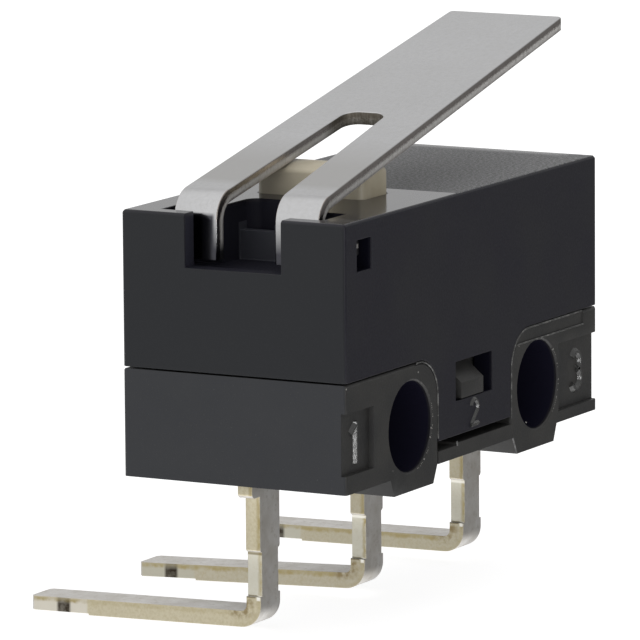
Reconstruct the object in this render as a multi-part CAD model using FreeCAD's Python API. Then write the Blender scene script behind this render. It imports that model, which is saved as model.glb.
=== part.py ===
import FreeCAD, Part
import math
import os

# Ultra-small snap-action switch with a hinge lever and three sideways bent solder terminals.
# Millimetres. Z up, X along the switch with the lever's hinge at the -X end, Y the side that the
# solder legs are bent to. The origin is midway between the two mounting holes, at half the width.

# Housing outline
body_length = 12.8
body_width = 5.8
base_depth = 1.1
seam_height = 1.42
seam_gap = 0.04
corner_radius = 0.08
top_edge_chamfer = 0.06

# Mounting holes and the stand-offs under them, each edge as its distance from the hole's middle
hole_spacing = 6.5
hole_diameter = 2.12
hole_rim_chamfer = 0.04
standoff_height = 0.41
standoff_run = 1.3
standoff_outer_top = 1.0
standoff_outer_bottom = 0.83
standoff_inner_bottom = 1.11

# Base sides: a flush arch round each hole, a ledge between the arches
arch_inner_reach = 1.37
arch_radius = 0.9
arch_chamfer = 0.06
skin_depth = 0.55
ledge_height = 0.35
ledge_step = 0.06
ledge_step_length = 0.96

# Recessed panels for the terminal numbers, measured from the ends of the base, and the shallow
# band along the top of the far arch
panel_depth = 0.13
near_panel_length = 1.34
near_panel_bottom = -0.67
near_panel_top = 0.77
far_panel_length = 2.05
far_panel_bottom = -0.835
far_panel_top = 0.806
far_band_depth = 0.03
far_band_height = 0.33
far_band_inset = 0.25
far_band_end_distance = 0.7

# Windows in the cover's skirt and the snap hooks of the base that catch in them
window_left = -0.98
window_right = 0.88
window_bottom = 0.23
window_top = 1.16
hook_left_play = 0.28
hook_right_play = 0.47
hook_play = 0.03
hook_face = 0.37
hook_lead = 0.47

# Inner rim of the base that locates the cover, and the core pocket under the blade
rim_height = 0.58
rim_wall = 0.35
rim_clearance = 0.05
pocket_hole_wall = 0.375
pocket_stem_wall = 0.2
pocket_half_width = 1.6
pocket_floor = 0.2

# Cover walls and the rooms inside
side_wall = 0.5
end_wall = 0.5
top_wall = 0.5
skirt_gap = 0.18
anchor_room_clearance = 0.15
flange_side_room = 0.2

# Lever well in the top of the cover
well_floor_thickness = 0.45
well_depth = 1.35
well_end_wall = 0.45
well_length = 1.1
well_half_width = 2.1
notch_half_width = 1.25
notch_depth_in_end = 1.25
channel_half_width = 1.1
channel_wall = 0.3
channel_radius = 0.3
rib_distance = 0.55
rib_thickness = 0.25
rib_drop = 0.67
rib_step = 0.15
rib_step_edge = 0.2

# Hinge lever: pressed from one sheet, ears at the foot of two arms
lever_sheet = 0.3
lever_angle = 12.28
lever_length = 13.134
lever_tip_rise = 3.833
lever_tip_half_width = 1.52
lever_root_half_width = 1.89
lever_bend_radius = 0.4
lever_end_gap = 0.19
lever_arm_drop = 0.48
lever_slot_length = 5.95
lever_slot_root_half = 0.77
lever_slot_end_half = 0.53
lever_slot_radius = 0.36
lever_corner_radius = 0.12
lever_edge_radius = 0.035
ear_height = 0.34
ear_drop = 0.65
ear_side_inset = 0.15
ear_corner_radius = 0.06
ear_side_play = 0.07
ear_window_width = 0.7
ear_window_below = 0.51
ear_window_above = 0.22

# Plunger
plunger_length = 1.3
plunger_width = 2.78
plunger_centre = -2.07
plunger_lever_gap = 0.044
plunger_corner = 0.15
crown_radius = 1.5
crown_edge_radius = 0.12
plunger_clearance = 0.03
flange_length = 1.86
flange_width = 3.5
flange_thickness = 0.35
flange_drop = 0.05
foot_length = 0.3
foot_width = 2.4
foot_travel_room = 0.41
guide_clearance = 0.05
guide_length = 1.0
guide_drop = 1.15

# Terminals
terminal_end_distance = 1.32
terminal_sheet = 0.38
stem_width = 0.93
stem_length = 1.31
stem_corner_radius = 0.07
shoulder_near_reach = 0.83
shoulder_far_reach = 0.6
shoulder_corner_radius = 0.12
shoulder_drop = 0.385
waist_width = 0.77
waist_length = 1.04
leg_width = 0.93
leg_drop = 0.735
leg_reach = 5.95
leg_bend_radius = 0.15
near_leg_droop = 1.35
middle_leg_droop = 2.4
far_leg_droop = 1.0
leg_tip_length = 1.55
leg_tip_thinning = 0.04
leg_tip_chamfer = 0.08

# Common terminal inside the housing
common_bar_height = 0.43
post_width = 0.45
post_overlap = 0.145
post_rise = 0.3
notch_depth = 0.15
notch_inner_half = 0.1
notch_outer_half = 0.18
tongue_post_reach = 2.63
tongue_post_width = 0.4
tongue_notch_drop = 0.72
tongue_notch_depth = 0.12
tongue_notch_inner_half = 0.16
tongue_notch_outer_half = 0.26
tongue_post_rise = 0.06

# Moving blade
blade_sheet = 0.12
blade_half_width = 1.3
blade_end_play = 0.02
blade_end_bar = 0.35
blade_end_clearance = 0.08
anchor_window_length = 0.47
anchor_window_half = 0.26
blade_cross_bar = 0.5
blade_contact_bar = 1.0
blade_window_half = 0.75
blade_corner_radius = 0.2
tongue_half_width = 0.5
tongue_end_play = 0.09
tongue_tip_drop = 0.65

# Contacts
contact_inset = 0.65
contact_radius = 0.45
contact_head = 0.25
open_contact_head = 0.2
contact_shank = 0.2
contact_edge = 0.05
contact_rest_gap = 0.02
contact_travel = 0.5
contact_tilt_room = 0.04

# Fixed contact carriers, bent over from the stems
carrier_bend_radius = 0.1
carrier_near = 0.5
carrier_far = 1.1
carrier_neck = 0.38
carrier_pad_half = 0.5

# Tolerances of the geometry itself
touch = 1e-6
slant_touch = 1e-4
overrun = 1.05

# Worked out sizes: plan of the housing
half_length = body_length / 2
half_width = body_width / 2
core_half = half_width - skin_depth
room_half_length = half_length - end_wall
room_half_width = half_width - side_wall
hole_x = hole_spacing / 2
hole_radius = hole_diameter / 2
arch_edge = hole_x - arch_inner_reach
terminal_pitch = half_length - terminal_end_distance
ledge_top = ledge_height - base_depth
skirt_bottom = ledge_top + skirt_gap
cover_bottom = seam_height + seam_gap

# Worked out sizes: the stack of contacts and blade on the base, and the cover over it
carrier_top = seam_height + terminal_sheet
open_contact_top = carrier_top + open_contact_head
blade_bottom = open_contact_top + contact_tilt_room + contact_travel + contact_head
blade_height = blade_bottom + blade_sheet / 2
blade_top = blade_bottom + blade_sheet
closed_contact_face = blade_top + contact_head + contact_rest_gap
closed_carrier_bottom = closed_contact_face + contact_head
post_top = blade_height + post_rise
anchor_room_top = post_top + anchor_room_clearance
well_floor = anchor_room_top + well_floor_thickness
cover_height = well_floor + well_depth
ceiling = cover_height - top_wall
notch_bottom = cover_height - notch_depth_in_end
rib_top = cover_height - rib_drop
ear_centre_height = cover_height - ear_drop

# Worked out sizes: lengthwise places of the well, the rooms and the lever
well_left = well_end_wall - half_length
well_back = well_left + well_length
contact_room_left = plunger_centre - flange_length / 2 - flange_side_room
channel_end = contact_room_left - channel_wall
rib_face = channel_end - rib_distance
lever_arm_outer = well_left + lever_end_gap
arm_inner = lever_arm_outer + lever_sheet
lever_tip_x = lever_arm_outer + lever_length
lever_tip_top = ear_centre_height + lever_tip_rise
lever_arm_foot = ear_centre_height - lever_arm_drop
lever_slot_end = lever_arm_outer + lever_slot_length
lever_tilt = math.radians(lever_angle)
lever_slope = math.tan(lever_tilt)

# Worked out sizes: the plunger's crown just under the lever
lever_top_there = lever_tip_top - (lever_tip_x - plunger_centre) * lever_slope
lever_underside = lever_top_there - lever_sheet / math.cos(lever_tilt)
crown_centre = lever_underside - (crown_radius + plunger_lever_gap) / math.cos(lever_tilt)
plunger_crest = crown_centre + crown_radius

# Worked out sizes: terminals and blade
shoulder_bottom = -base_depth - shoulder_drop
waist_top = shoulder_bottom - stem_length
waist_bottom = waist_top - waist_length
leg_underside = waist_bottom - leg_drop
leg_tip_start = leg_reach - leg_tip_length
post_left = -terminal_pitch - stem_width / 2 + post_overlap
post_right = post_left + post_width
anchor_x = post_left + notch_depth
tongue_post_right = tongue_post_reach - terminal_pitch
tongue_notch_height = blade_height - tongue_notch_drop
blade_bar_edge = anchor_x - blade_end_play
blade_left = blade_bar_edge - blade_end_bar
blade_window_left = blade_bar_edge + anchor_window_length + blade_cross_bar
blade_right = terminal_pitch - stem_width / 2 - blade_end_clearance
contact_x = blade_right - contact_inset
blade_window_right = contact_x - blade_contact_bar
carrier_left = contact_x - carrier_pad_half
carrier_right = contact_x + carrier_pad_half


def box(x0, x1, y0, y1, z0, z1):
    """A block between two corners."""
    return Part.makeBox(x1 - x0, y1 - y0, z1 - z0, FreeCAD.Vector(x0, y0, z0))


def polygon(points):
    """A closed flat face through the points."""
    return Part.Face(Part.makePolygon(points + [points[0]]))


def profile_xz(corners, y0, y1):
    """A prism along Y over a polygon in the XZ plane."""
    face = polygon([FreeCAD.Vector(x, y0, z) for x, z in corners])
    return face.extrude(FreeCAD.Vector(0, y1 - y0, 0))


def profile_xy(corners, z0, z1):
    """A prism along Z over a polygon in the XY plane."""
    face = polygon([FreeCAD.Vector(x, y, z0) for x, y in corners])
    return face.extrude(FreeCAD.Vector(0, 0, z1 - z0))


def profile_yz(corners, x0, x1):
    """A prism along X over a polygon in the YZ plane."""
    face = polygon([FreeCAD.Vector(x0, y, z) for y, z in corners])
    return face.extrude(FreeCAD.Vector(x1 - x0, 0, 0))


def cylinder_y(x, z, radius, y0, y1):
    """A round bar along Y."""
    return Part.makeCylinder(radius, y1 - y0, FreeCAD.Vector(x, y0, z), FreeCAD.Vector(0, 1, 0))


def mirror_y(shape):
    """The shape and its twin on the other side of the middle plane."""
    return shape.fuse(shape.mirror(FreeCAD.Vector(0, 0, 0), FreeCAD.Vector(0, 1, 0)))


def edges_along(shape, axis):
    """The straight edges of a shape that run along one axis."""
    found = []
    for edge in shape.Edges:
        if len(edge.Vertexes) == 2:
            run = edge.Vertexes[1].Point - edge.Vertexes[0].Point
            if run.Length > touch and abs(run.dot(axis)) > run.Length - touch:
                found.append(edge)
    return found


def edges_at(shape, test):
    """The edges whose two ends both pass the test."""
    found = []
    for edge in shape.Edges:
        ends = [vertex.Point for vertex in edge.Vertexes]
        if all(test(point) for point in ends):
            found.append(edge)
    return found


def arch_wall(x_sign, edge, radius, bottom, top, y0, y1):
    """A side wall whose inner top corner is rounded like the arch over a hole."""
    def at(x, z):
        return FreeCAD.Vector(x_sign * x, y0, z)

    turn = radius * math.sqrt(0.5)
    centre_x = edge + radius
    centre_z = top - radius
    outline = [
        Part.LineSegment(at(half_length, bottom), at(edge, bottom)).toShape(),
        Part.LineSegment(at(edge, bottom), at(edge, centre_z)).toShape(),
        Part.Arc(at(edge, centre_z), at(centre_x - turn, centre_z + turn), at(centre_x, top)).toShape(),
        Part.LineSegment(at(centre_x, top), at(half_length, top)).toShape(),
        Part.LineSegment(at(half_length, top), at(half_length, bottom)).toShape(),
    ]
    return Part.Face(Part.Wire(outline)).extrude(FreeCAD.Vector(0, y1 - y0, 0))


def base_arch(x_sign):
    """One flush side wall of the base, its rim eased on the outside."""
    wall = arch_wall(x_sign, arch_edge, arch_radius, -base_depth, seam_height, core_half, half_width)

    def on_rim(point):
        inner = abs(point.x) <= arch_edge + arch_radius + touch
        return inner and point.y > half_width - touch

    return wall.makeChamfer(arch_chamfer, edges_at(wall, on_rim))


def standoff(x_sign):
    """One foot under a hole, at the +Y side."""
    corners = [
        (x_sign * (hole_x + standoff_outer_top), -base_depth),
        (x_sign * (hole_x + standoff_outer_bottom), -base_depth - standoff_height),
        (x_sign * (hole_x - standoff_inner_bottom), -base_depth - standoff_height),
        (x_sign * (arch_edge + arch_chamfer), -base_depth),
    ]
    return profile_xz(corners, half_width - standoff_run, half_width)


def snap_hook():
    """The wedge on the +Y side of the core: flat underneath, sloped on top."""
    bottom = window_bottom + hook_play
    corners = [
        (core_half, bottom),
        (half_width, bottom),
        (half_width, bottom + hook_face),
        (core_half, bottom + hook_face + hook_lead),
    ]
    return profile_yz(corners, window_left + hook_left_play, window_right - hook_right_play)


def hole_cutter(x):
    """A mounting hole across the base with both rims chamfered."""
    wide = hole_radius + hole_rim_chamfer
    bore = cylinder_y(x, 0, hole_radius, -half_width, half_width)
    cone = Part.makeCone(wide, hole_radius, hole_rim_chamfer,
                         FreeCAD.Vector(x, -half_width, 0), FreeCAD.Vector(0, 1, 0))
    return bore.fuse(mirror_y(cone))


def side_recesses():
    """The two panels in the -Y side that carry the end terminal numbers, and the band over the far one."""
    near = box(-half_length, near_panel_length - half_length, -half_width, panel_depth - half_width,
               near_panel_bottom, near_panel_top)
    far = box(half_length - far_panel_length, half_length, -half_width, panel_depth - half_width,
              far_panel_bottom, far_panel_top)
    band = box(arch_edge + far_band_inset, half_length - far_band_end_distance,
               -half_width, far_band_depth - half_width, seam_height - far_band_height, seam_height)
    return near.fuse([far, band])


def locating_rim():
    """The low wall on top of the base that fits inside the cover."""
    outer_x = room_half_length - rim_clearance
    outer_y = core_half
    top = seam_height + rim_height
    outer = box(-outer_x, outer_x, -outer_y, outer_y, seam_height, top)
    inner = box(-outer_x + rim_wall, outer_x - rim_wall, -outer_y + rim_wall, outer_y - rim_wall,
                seam_height, top)
    return outer.cut(inner)


def make_base(terminals):
    """The moulded base, formed round the terminal stems."""
    core = box(-half_length, half_length, -core_half, core_half, -base_depth, seam_height)
    walls = base_arch(1).fuse(base_arch(-1))
    ledge = box(-arch_edge, arch_edge, core_half, half_width, -base_depth, ledge_top)
    dip = box(-arch_edge, ledge_step_length - arch_edge, core_half, half_width,
              ledge_top - ledge_step, ledge_top)
    feet = standoff(1).fuse(standoff(-1))
    side = walls.fuse([ledge.cut(dip), feet, snap_hook()])
    body = core.fuse(mirror_y(side)).removeSplitter()
    upright = [edge for edge in edges_along(body, FreeCAD.Vector(0, 0, 1))
               if abs(edge.Vertexes[0].X) > half_length - touch
               and abs(edge.Vertexes[0].Y) > half_width - touch]
    body = body.makeFillet(corner_radius, upright)
    pocket = box(hole_radius + pocket_hole_wall - hole_x, -stem_width / 2 - pocket_stem_wall,
                 -pocket_half_width, pocket_half_width, pocket_floor, seam_height)
    holes = hole_cutter(hole_x).fuse(hole_cutter(-hole_x))
    body = body.fuse(locating_rim()).cut([holes, pocket, side_recesses()])
    return body.cut(terminals).removeSplitter()


def cover_skirt():
    """The tongue of the cover on the +Y side that fills the space between the arches."""
    def at(x, z):
        return FreeCAD.Vector(x, room_half_width, z)

    edge = arch_edge - seam_gap
    radius = arch_radius + seam_gap
    turn = radius * math.sqrt(0.5)
    centre_x = edge + radius
    centre_z = cover_bottom - radius
    outline = [Part.LineSegment(at(-edge, skirt_bottom), at(edge, skirt_bottom)).toShape()]
    outline.append(Part.LineSegment(at(edge, skirt_bottom), at(edge, centre_z)).toShape())
    outline.append(Part.Arc(at(edge, centre_z), at(centre_x - turn, centre_z + turn),
                            at(centre_x, cover_bottom)).toShape())
    outline.append(Part.LineSegment(at(centre_x, cover_bottom), at(-centre_x, cover_bottom)).toShape())
    outline.append(Part.Arc(at(-centre_x, cover_bottom), at(-centre_x + turn, centre_z + turn),
                            at(-edge, centre_z)).toShape())
    outline.append(Part.LineSegment(at(-edge, centre_z), at(-edge, skirt_bottom)).toShape())
    skirt = Part.Face(Part.Wire(outline)).extrude(FreeCAD.Vector(0, side_wall, 0))
    return skirt.cut(box(window_left, window_right, room_half_width, half_width, window_bottom, window_top))


def lever_well():
    """The space for the lever arms: a cross slot, a channel to the plunger and the end notch."""
    slot = box(well_left, well_back, -well_half_width, well_half_width, well_floor, cover_height)
    channel = box(well_back, channel_end, -channel_half_width, channel_half_width, well_floor, cover_height)
    far_corners = [edge for edge in edges_along(channel, FreeCAD.Vector(0, 0, 1))
                   if edge.Vertexes[0].X > channel_end - touch]
    channel = channel.makeFillet(channel_radius, far_corners)
    rib_back = rib_face + rib_thickness
    rib = box(rib_face, rib_back, -channel_half_width, channel_half_width, well_floor, rib_top)
    step = box(rib_face, rib_back, -channel_half_width, rib_step_edge, rib_top, rib_top + rib_step)
    notch = box(-half_length, well_left, -notch_half_width, notch_half_width, notch_bottom, cover_height)
    return slot.fuse([channel.cut(rib.fuse(step)), notch])


def ear_windows():
    """The window in each side wall in which a lever ear rocks."""
    left = lever_arm_outer - ear_side_play
    return mirror_y(box(left, left + ear_window_width, well_half_width, half_width,
                        ear_centre_height - ear_window_below, ear_centre_height + ear_window_above))


def plunger_opening():
    """The opening in the cover round the plunger."""
    half_x = plunger_length / 2 + plunger_clearance
    half_y = plunger_width / 2 + plunger_clearance
    opening = box(plunger_centre - half_x, plunger_centre + half_x, -half_y, half_y, ceiling, cover_height)
    corners = edges_along(opening, FreeCAD.Vector(0, 0, 1))
    return opening.makeFillet(plunger_corner + plunger_clearance, corners)


def plunger_guides():
    """Two ribs inside the cover that guide the plunger's flange."""
    inner = flange_width / 2 + guide_clearance
    return mirror_y(box(plunger_centre - guide_length / 2, plunger_centre + guide_length / 2,
                        inner, room_half_width, ceiling - guide_drop, ceiling))


def make_cover():
    """The moulded cover with its well, windows, contact room and plunger opening."""
    shell = box(-half_length, half_length, -half_width, half_width, cover_bottom, cover_height)
    shell = shell.makeFillet(corner_radius, edges_along(shell, FreeCAD.Vector(0, 0, 1)))
    top_rim = edges_at(shell, lambda point: point.z > cover_height - touch)
    shell = shell.makeChamfer(top_edge_chamfer, top_rim)
    shell = shell.fuse(mirror_y(cover_skirt()))
    anchor_room = box(-room_half_length, room_half_length, -room_half_width, room_half_width,
                      skirt_bottom, anchor_room_top)
    contact_room = box(contact_room_left, room_half_length, -room_half_width, room_half_width,
                       anchor_room_top, ceiling)
    shell = shell.cut(anchor_room.fuse(contact_room)).cut([lever_well(), ear_windows(), plunger_opening()])
    return shell.fuse(plunger_guides()).removeSplitter()


def crowned_neck(bottom):
    """The plunger above its flange: a bar with a flat curve on top and all its edges rounded."""
    half_x = plunger_length / 2
    edge_height = crown_centre + math.sqrt(crown_radius * crown_radius - half_x * half_x)

    def at(x, z):
        return FreeCAD.Vector(plunger_centre + x, -plunger_width / 2, z)

    outline = [
        Part.LineSegment(at(-half_x, bottom), at(half_x, bottom)).toShape(),
        Part.LineSegment(at(half_x, bottom), at(half_x, edge_height)).toShape(),
        Part.Arc(at(half_x, edge_height), at(0, plunger_crest), at(-half_x, edge_height)).toShape(),
        Part.LineSegment(at(-half_x, edge_height), at(-half_x, bottom)).toShape(),
    ]
    neck = Part.Face(Part.Wire(outline)).extrude(FreeCAD.Vector(0, plunger_width, 0))
    crown_edges = [edge for edge in edges_along(neck, FreeCAD.Vector(0, 1, 0))
                   if edge.Vertexes[0].Z > bottom + touch]
    neck = neck.makeFillet(crown_edge_radius, crown_edges)
    return neck.makeFillet(plunger_corner, edges_along(neck, FreeCAD.Vector(0, 0, 1)))


def make_plunger():
    """The plunger: crowned neck, flange under the cover and a foot over the blade."""
    flange_top = ceiling - flange_drop
    flange_bottom = flange_top - flange_thickness
    neck = crowned_neck(flange_top)
    flange = box(plunger_centre - flange_length / 2, plunger_centre + flange_length / 2,
                 -flange_width / 2, flange_width / 2, flange_bottom, flange_top)
    foot_right = plunger_centre + flange_length / 2
    foot_radius = foot_length / 2
    foot_bottom = blade_top + foot_travel_room
    foot = box(foot_right - foot_length, foot_right, -foot_width / 2, foot_width / 2,
               foot_bottom + foot_radius, flange_bottom)
    sole = cylinder_y(foot_right - foot_radius, foot_bottom + foot_radius, foot_radius,
                      -foot_width / 2, foot_width / 2)
    return neck.fuse([flange, foot, sole]).removeSplitter()


def lever_side_outline():
    """Side view of the lever sheet: arm, bend and sloping plate, as a closed face at y = 0."""
    outer_radius = lever_bend_radius + lever_sheet
    centre_x = lever_arm_outer + outer_radius
    top_at_centre = lever_tip_top - (lever_tip_x - centre_x) * lever_slope
    centre_z = top_at_centre - outer_radius / math.cos(lever_tilt)
    middle = (math.pi + math.pi / 2 + lever_tilt) / 2
    reach = (lever_tip_x - centre_x) / math.cos(lever_tilt) * overrun

    def on_bend(radius, turn):
        return FreeCAD.Vector(centre_x + radius * math.cos(turn), 0, centre_z + radius * math.sin(turn))

    along = FreeCAD.Vector(math.cos(lever_tilt), 0, math.sin(lever_tilt)) * reach
    outer_end = on_bend(outer_radius, math.pi / 2 + lever_tilt)
    inner_end = on_bend(lever_bend_radius, math.pi / 2 + lever_tilt)
    inner_start = on_bend(lever_bend_radius, math.pi)
    foot_outer = FreeCAD.Vector(lever_arm_outer, 0, lever_arm_foot)
    foot_inner = FreeCAD.Vector(arm_inner, 0, lever_arm_foot)
    edges = [
        Part.LineSegment(foot_outer, on_bend(outer_radius, math.pi)).toShape(),
        Part.Arc(on_bend(outer_radius, math.pi), on_bend(outer_radius, middle), outer_end).toShape(),
        Part.LineSegment(outer_end, outer_end + along).toShape(),
        Part.LineSegment(outer_end + along, inner_end + along).toShape(),
        Part.LineSegment(inner_end + along, inner_end).toShape(),
        Part.Arc(inner_end, on_bend(lever_bend_radius, middle), inner_start).toShape(),
        Part.LineSegment(inner_start, foot_inner).toShape(),
        Part.LineSegment(foot_inner, foot_outer).toShape(),
    ]
    return Part.Face(Part.Wire(edges))


def lever_plan():
    """Plan of the tapered plate with its rounded tip, less the slot between the arms."""
    top = lever_tip_top + lever_sheet
    bottom = lever_arm_foot - lever_sheet
    left = lever_arm_outer - lever_sheet
    plate = profile_xy([
        (left, -lever_root_half_width),
        (lever_tip_x, -lever_tip_half_width),
        (lever_tip_x, lever_tip_half_width),
        (left, lever_root_half_width),
    ], bottom, top)
    tip_corners = [edge for edge in edges_along(plate, FreeCAD.Vector(0, 0, 1))
                   if edge.Vertexes[0].X > lever_tip_x - touch]
    plate = plate.makeFillet(lever_corner_radius, tip_corners)
    slot = profile_xy([
        (left, -lever_slot_root_half),
        (lever_slot_end, -lever_slot_end_half),
        (lever_slot_end, lever_slot_end_half),
        (left, lever_slot_root_half),
    ], bottom, top)
    slot_corners = [edge for edge in edges_along(slot, FreeCAD.Vector(0, 0, 1))
                    if edge.Vertexes[0].X > lever_slot_end - touch]
    return plate.cut(slot.makeFillet(lever_slot_radius, slot_corners))


def lever_ear():
    """The ear of the +Y arm, rounded so that it rocks in its window."""
    tip = half_width - ear_side_inset
    root = (lever_slot_root_half + lever_root_half_width) / 2
    ear = box(lever_arm_outer, arm_inner, root, tip,
              ear_centre_height - ear_height / 2, ear_centre_height + ear_height / 2)
    return ear.makeFillet(ear_corner_radius, edges_along(ear, FreeCAD.Vector(0, 1, 0)))


def make_lever():
    """The hinge lever, one folded stainless pressing."""
    width = 2 * lever_root_half_width
    outline = lever_side_outline()
    outline.translate(FreeCAD.Vector(0, -width / 2 - lever_sheet, 0))
    sheet = outline.extrude(FreeCAD.Vector(0, width + 2 * lever_sheet, 0))
    sheet = sheet.common(lever_plan())

    def on_top_rim(point):
        plate_top = lever_tip_top - (lever_tip_x - point.x) * lever_slope
        return point.x > arm_inner + lever_bend_radius + lever_sheet and point.z > plate_top - slant_touch

    sheet = sheet.makeFillet(lever_edge_radius, edges_at(sheet, on_top_rim))
    return sheet.fuse(mirror_y(lever_ear())).removeSplitter()


def leg_strip(droop_angle):
    """Side view of a terminal's stem, bend and leg, extruded to more than their width at x = 0."""
    droop = math.radians(droop_angle)
    half = terminal_sheet / 2
    inner = leg_bend_radius
    outer = leg_bend_radius + terminal_sheet
    centre_y = half + inner
    foot_turn = 1.5 * math.pi - droop
    mid_turn = (math.pi + foot_turn) / 2
    centre_z = leg_underside + outer
    slope = math.tan(droop)

    def on_bend(radius, turn):
        return (centre_y + radius * math.cos(turn), centre_z + radius * math.sin(turn))

    def at(pair):
        return FreeCAD.Vector(-shoulder_far_reach, pair[0], pair[1])

    def run(start, y, lift):
        return (y, start[1] - (y - start[0]) * slope + lift)

    outer_end = on_bend(outer, foot_turn)
    inner_end = on_bend(inner, foot_turn)
    inner_start = on_bend(inner, math.pi)
    step_low = run(outer_end, leg_tip_start, 0)
    step_high = run(outer_end, leg_tip_start, leg_tip_thinning)
    tip_low = run(outer_end, leg_reach, leg_tip_thinning)
    tip_high = run(inner_end, leg_reach, 0)
    points = [(half, shoulder_bottom), (-half, shoulder_bottom), on_bend(outer, math.pi)]
    edges = [Part.LineSegment(at(points[0]), at(points[1])).toShape()]
    edges.append(Part.LineSegment(at(points[1]), at(points[2])).toShape())
    edges.append(Part.Arc(at(points[2]), at(on_bend(outer, mid_turn)), at(outer_end)).toShape())
    for start, end in [(outer_end, step_low), (step_low, step_high), (step_high, tip_low),
                       (tip_low, tip_high), (tip_high, inner_end)]:
        edges.append(Part.LineSegment(at(start), at(end)).toShape())
    edges.append(Part.Arc(at(inner_end), at(on_bend(inner, mid_turn)), at(inner_start)).toShape())
    edges.append(Part.LineSegment(at(inner_start), at(points[0])).toShape())
    return Part.Face(Part.Wire(edges)).extrude(FreeCAD.Vector(2 * shoulder_far_reach, 0, 0))


def rounded_below(block, radius):
    """The block with its two lower edges along Y rounded, as stamping leaves them."""
    lowest = block.BoundBox.ZMin
    lower = [edge for edge in edges_along(block, FreeCAD.Vector(0, 1, 0))
             if edge.Vertexes[0].Z < lowest + touch]
    return block.makeFillet(radius, lower)


def terminal_leg(droop_angle):
    """The visible part of a terminal at x = 0: shoulder, stem, waist, bend and solder leg."""
    stem = box(-stem_width / 2, stem_width / 2, -leg_reach, leg_reach, waist_top, shoulder_bottom)
    stem = rounded_below(stem, stem_corner_radius)
    waist = box(-waist_width / 2, waist_width / 2, -leg_reach, leg_reach, waist_bottom, waist_top)
    low = leg_underside - leg_reach
    leg = profile_xy([
        (-leg_width / 2, -leg_reach),
        (leg_width / 2, -leg_reach),
        (leg_width / 2, leg_reach - leg_tip_chamfer),
        (leg_width / 2 - leg_tip_chamfer, leg_reach),
        (-leg_width / 2 + leg_tip_chamfer, leg_reach),
        (-leg_width / 2, leg_reach - leg_tip_chamfer),
    ], low, waist_bottom)
    half = terminal_sheet / 2
    shoulder = box(-shoulder_near_reach, shoulder_far_reach, -half, half, shoulder_bottom, -base_depth)
    shoulder = rounded_below(shoulder, shoulder_corner_radius)
    return leg_strip(droop_angle).common(stem.fuse([waist, leg])).fuse(shoulder)


def at_pitch(shape, place):
    """The shape moved along the row of terminals: -1 near, 0 middle, 1 far."""
    return shape.translated(FreeCAD.Vector(place * terminal_pitch, 0, 0))


def common_frame():
    """The common terminal above the shoulder: stem, bar, anchor post and tongue post."""
    stem_left = -terminal_pitch - stem_width / 2
    stem_right = -terminal_pitch + stem_width / 2
    bar_top = seam_height + common_bar_height
    inner_x = tongue_post_right - tongue_notch_depth
    inner_top = tongue_notch_height + tongue_notch_outer_half + tongue_post_rise
    corners = [
        (stem_left, -base_depth),
        (stem_right, -base_depth),
        (stem_right, seam_height),
        (tongue_post_right, seam_height),
        (tongue_post_right, tongue_notch_height - tongue_notch_outer_half),
        (inner_x, tongue_notch_height - tongue_notch_inner_half),
        (inner_x, tongue_notch_height + tongue_notch_inner_half),
        (tongue_post_right, tongue_notch_height + tongue_notch_outer_half),
        (tongue_post_right, inner_top),
        (tongue_post_right - tongue_post_width, inner_top),
        (tongue_post_right - tongue_post_width, bar_top),
        (post_right, bar_top),
        (post_right, post_top),
        (post_left, post_top),
        (post_left, blade_height + notch_outer_half),
        (anchor_x, blade_height + notch_inner_half),
        (anchor_x, blade_height - notch_inner_half),
        (post_left, blade_height - notch_outer_half),
        (post_left, seam_height),
        (stem_left, seam_height),
    ]
    return profile_xz(corners, -terminal_sheet / 2, terminal_sheet / 2)


def bent_carrier(leg, stem_left, stem_right, underside, plan):
    """A leg whose stem is bent over at the top towards +Y into a flat contact carrier of the given plan."""
    half = terminal_sheet / 2
    inner = carrier_bend_radius
    outer = carrier_bend_radius + terminal_sheet
    centre_y = half + inner
    centre_z = underside - inner
    turn = math.sqrt(0.5)

    def at(y, z):
        return FreeCAD.Vector(stem_left, y, z)

    edges = [
        Part.LineSegment(at(half, -base_depth), at(-half, -base_depth)).toShape(),
        Part.LineSegment(at(-half, -base_depth), at(-half, centre_z)).toShape(),
        Part.Arc(at(-half, centre_z), at(centre_y - outer * turn, centre_z + outer * turn),
                 at(centre_y, centre_z + outer)).toShape(),
        Part.LineSegment(at(centre_y, centre_z + outer), at(carrier_far, centre_z + outer)).toShape(),
        Part.LineSegment(at(carrier_far, centre_z + outer), at(carrier_far, underside)).toShape(),
        Part.LineSegment(at(carrier_far, underside), at(centre_y, underside)).toShape(),
        Part.Arc(at(centre_y, underside), at(centre_y - inner * turn, centre_z + inner * turn),
                 at(half, centre_z)).toShape(),
        Part.LineSegment(at(half, centre_z), at(half, -base_depth)).toShape(),
    ]
    strip = Part.Face(Part.Wire(edges)).extrude(FreeCAD.Vector(stem_right - stem_left, 0, 0))
    carrier = profile_xy(plan, underside, underside + terminal_sheet)
    return leg.fuse([strip, carrier])


def make_common_terminal():
    """Near terminal: carries the blade on its post and the tongue on its second post."""
    return at_pitch(terminal_leg(near_leg_droop), -1).fuse(common_frame()).removeSplitter()


def make_open_terminal():
    """Middle terminal: bent over onto the base floor and led under the moving contact."""
    half = stem_width / 2
    plan = [
        (-half, carrier_neck),
        (carrier_left, carrier_neck),
        (carrier_left, -carrier_near),
        (carrier_right, -carrier_near),
        (carrier_right, carrier_far),
        (-half, carrier_far),
    ]
    leg = terminal_leg(middle_leg_droop)
    return bent_carrier(leg, -half, half, seam_height, plan).removeSplitter()


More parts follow.
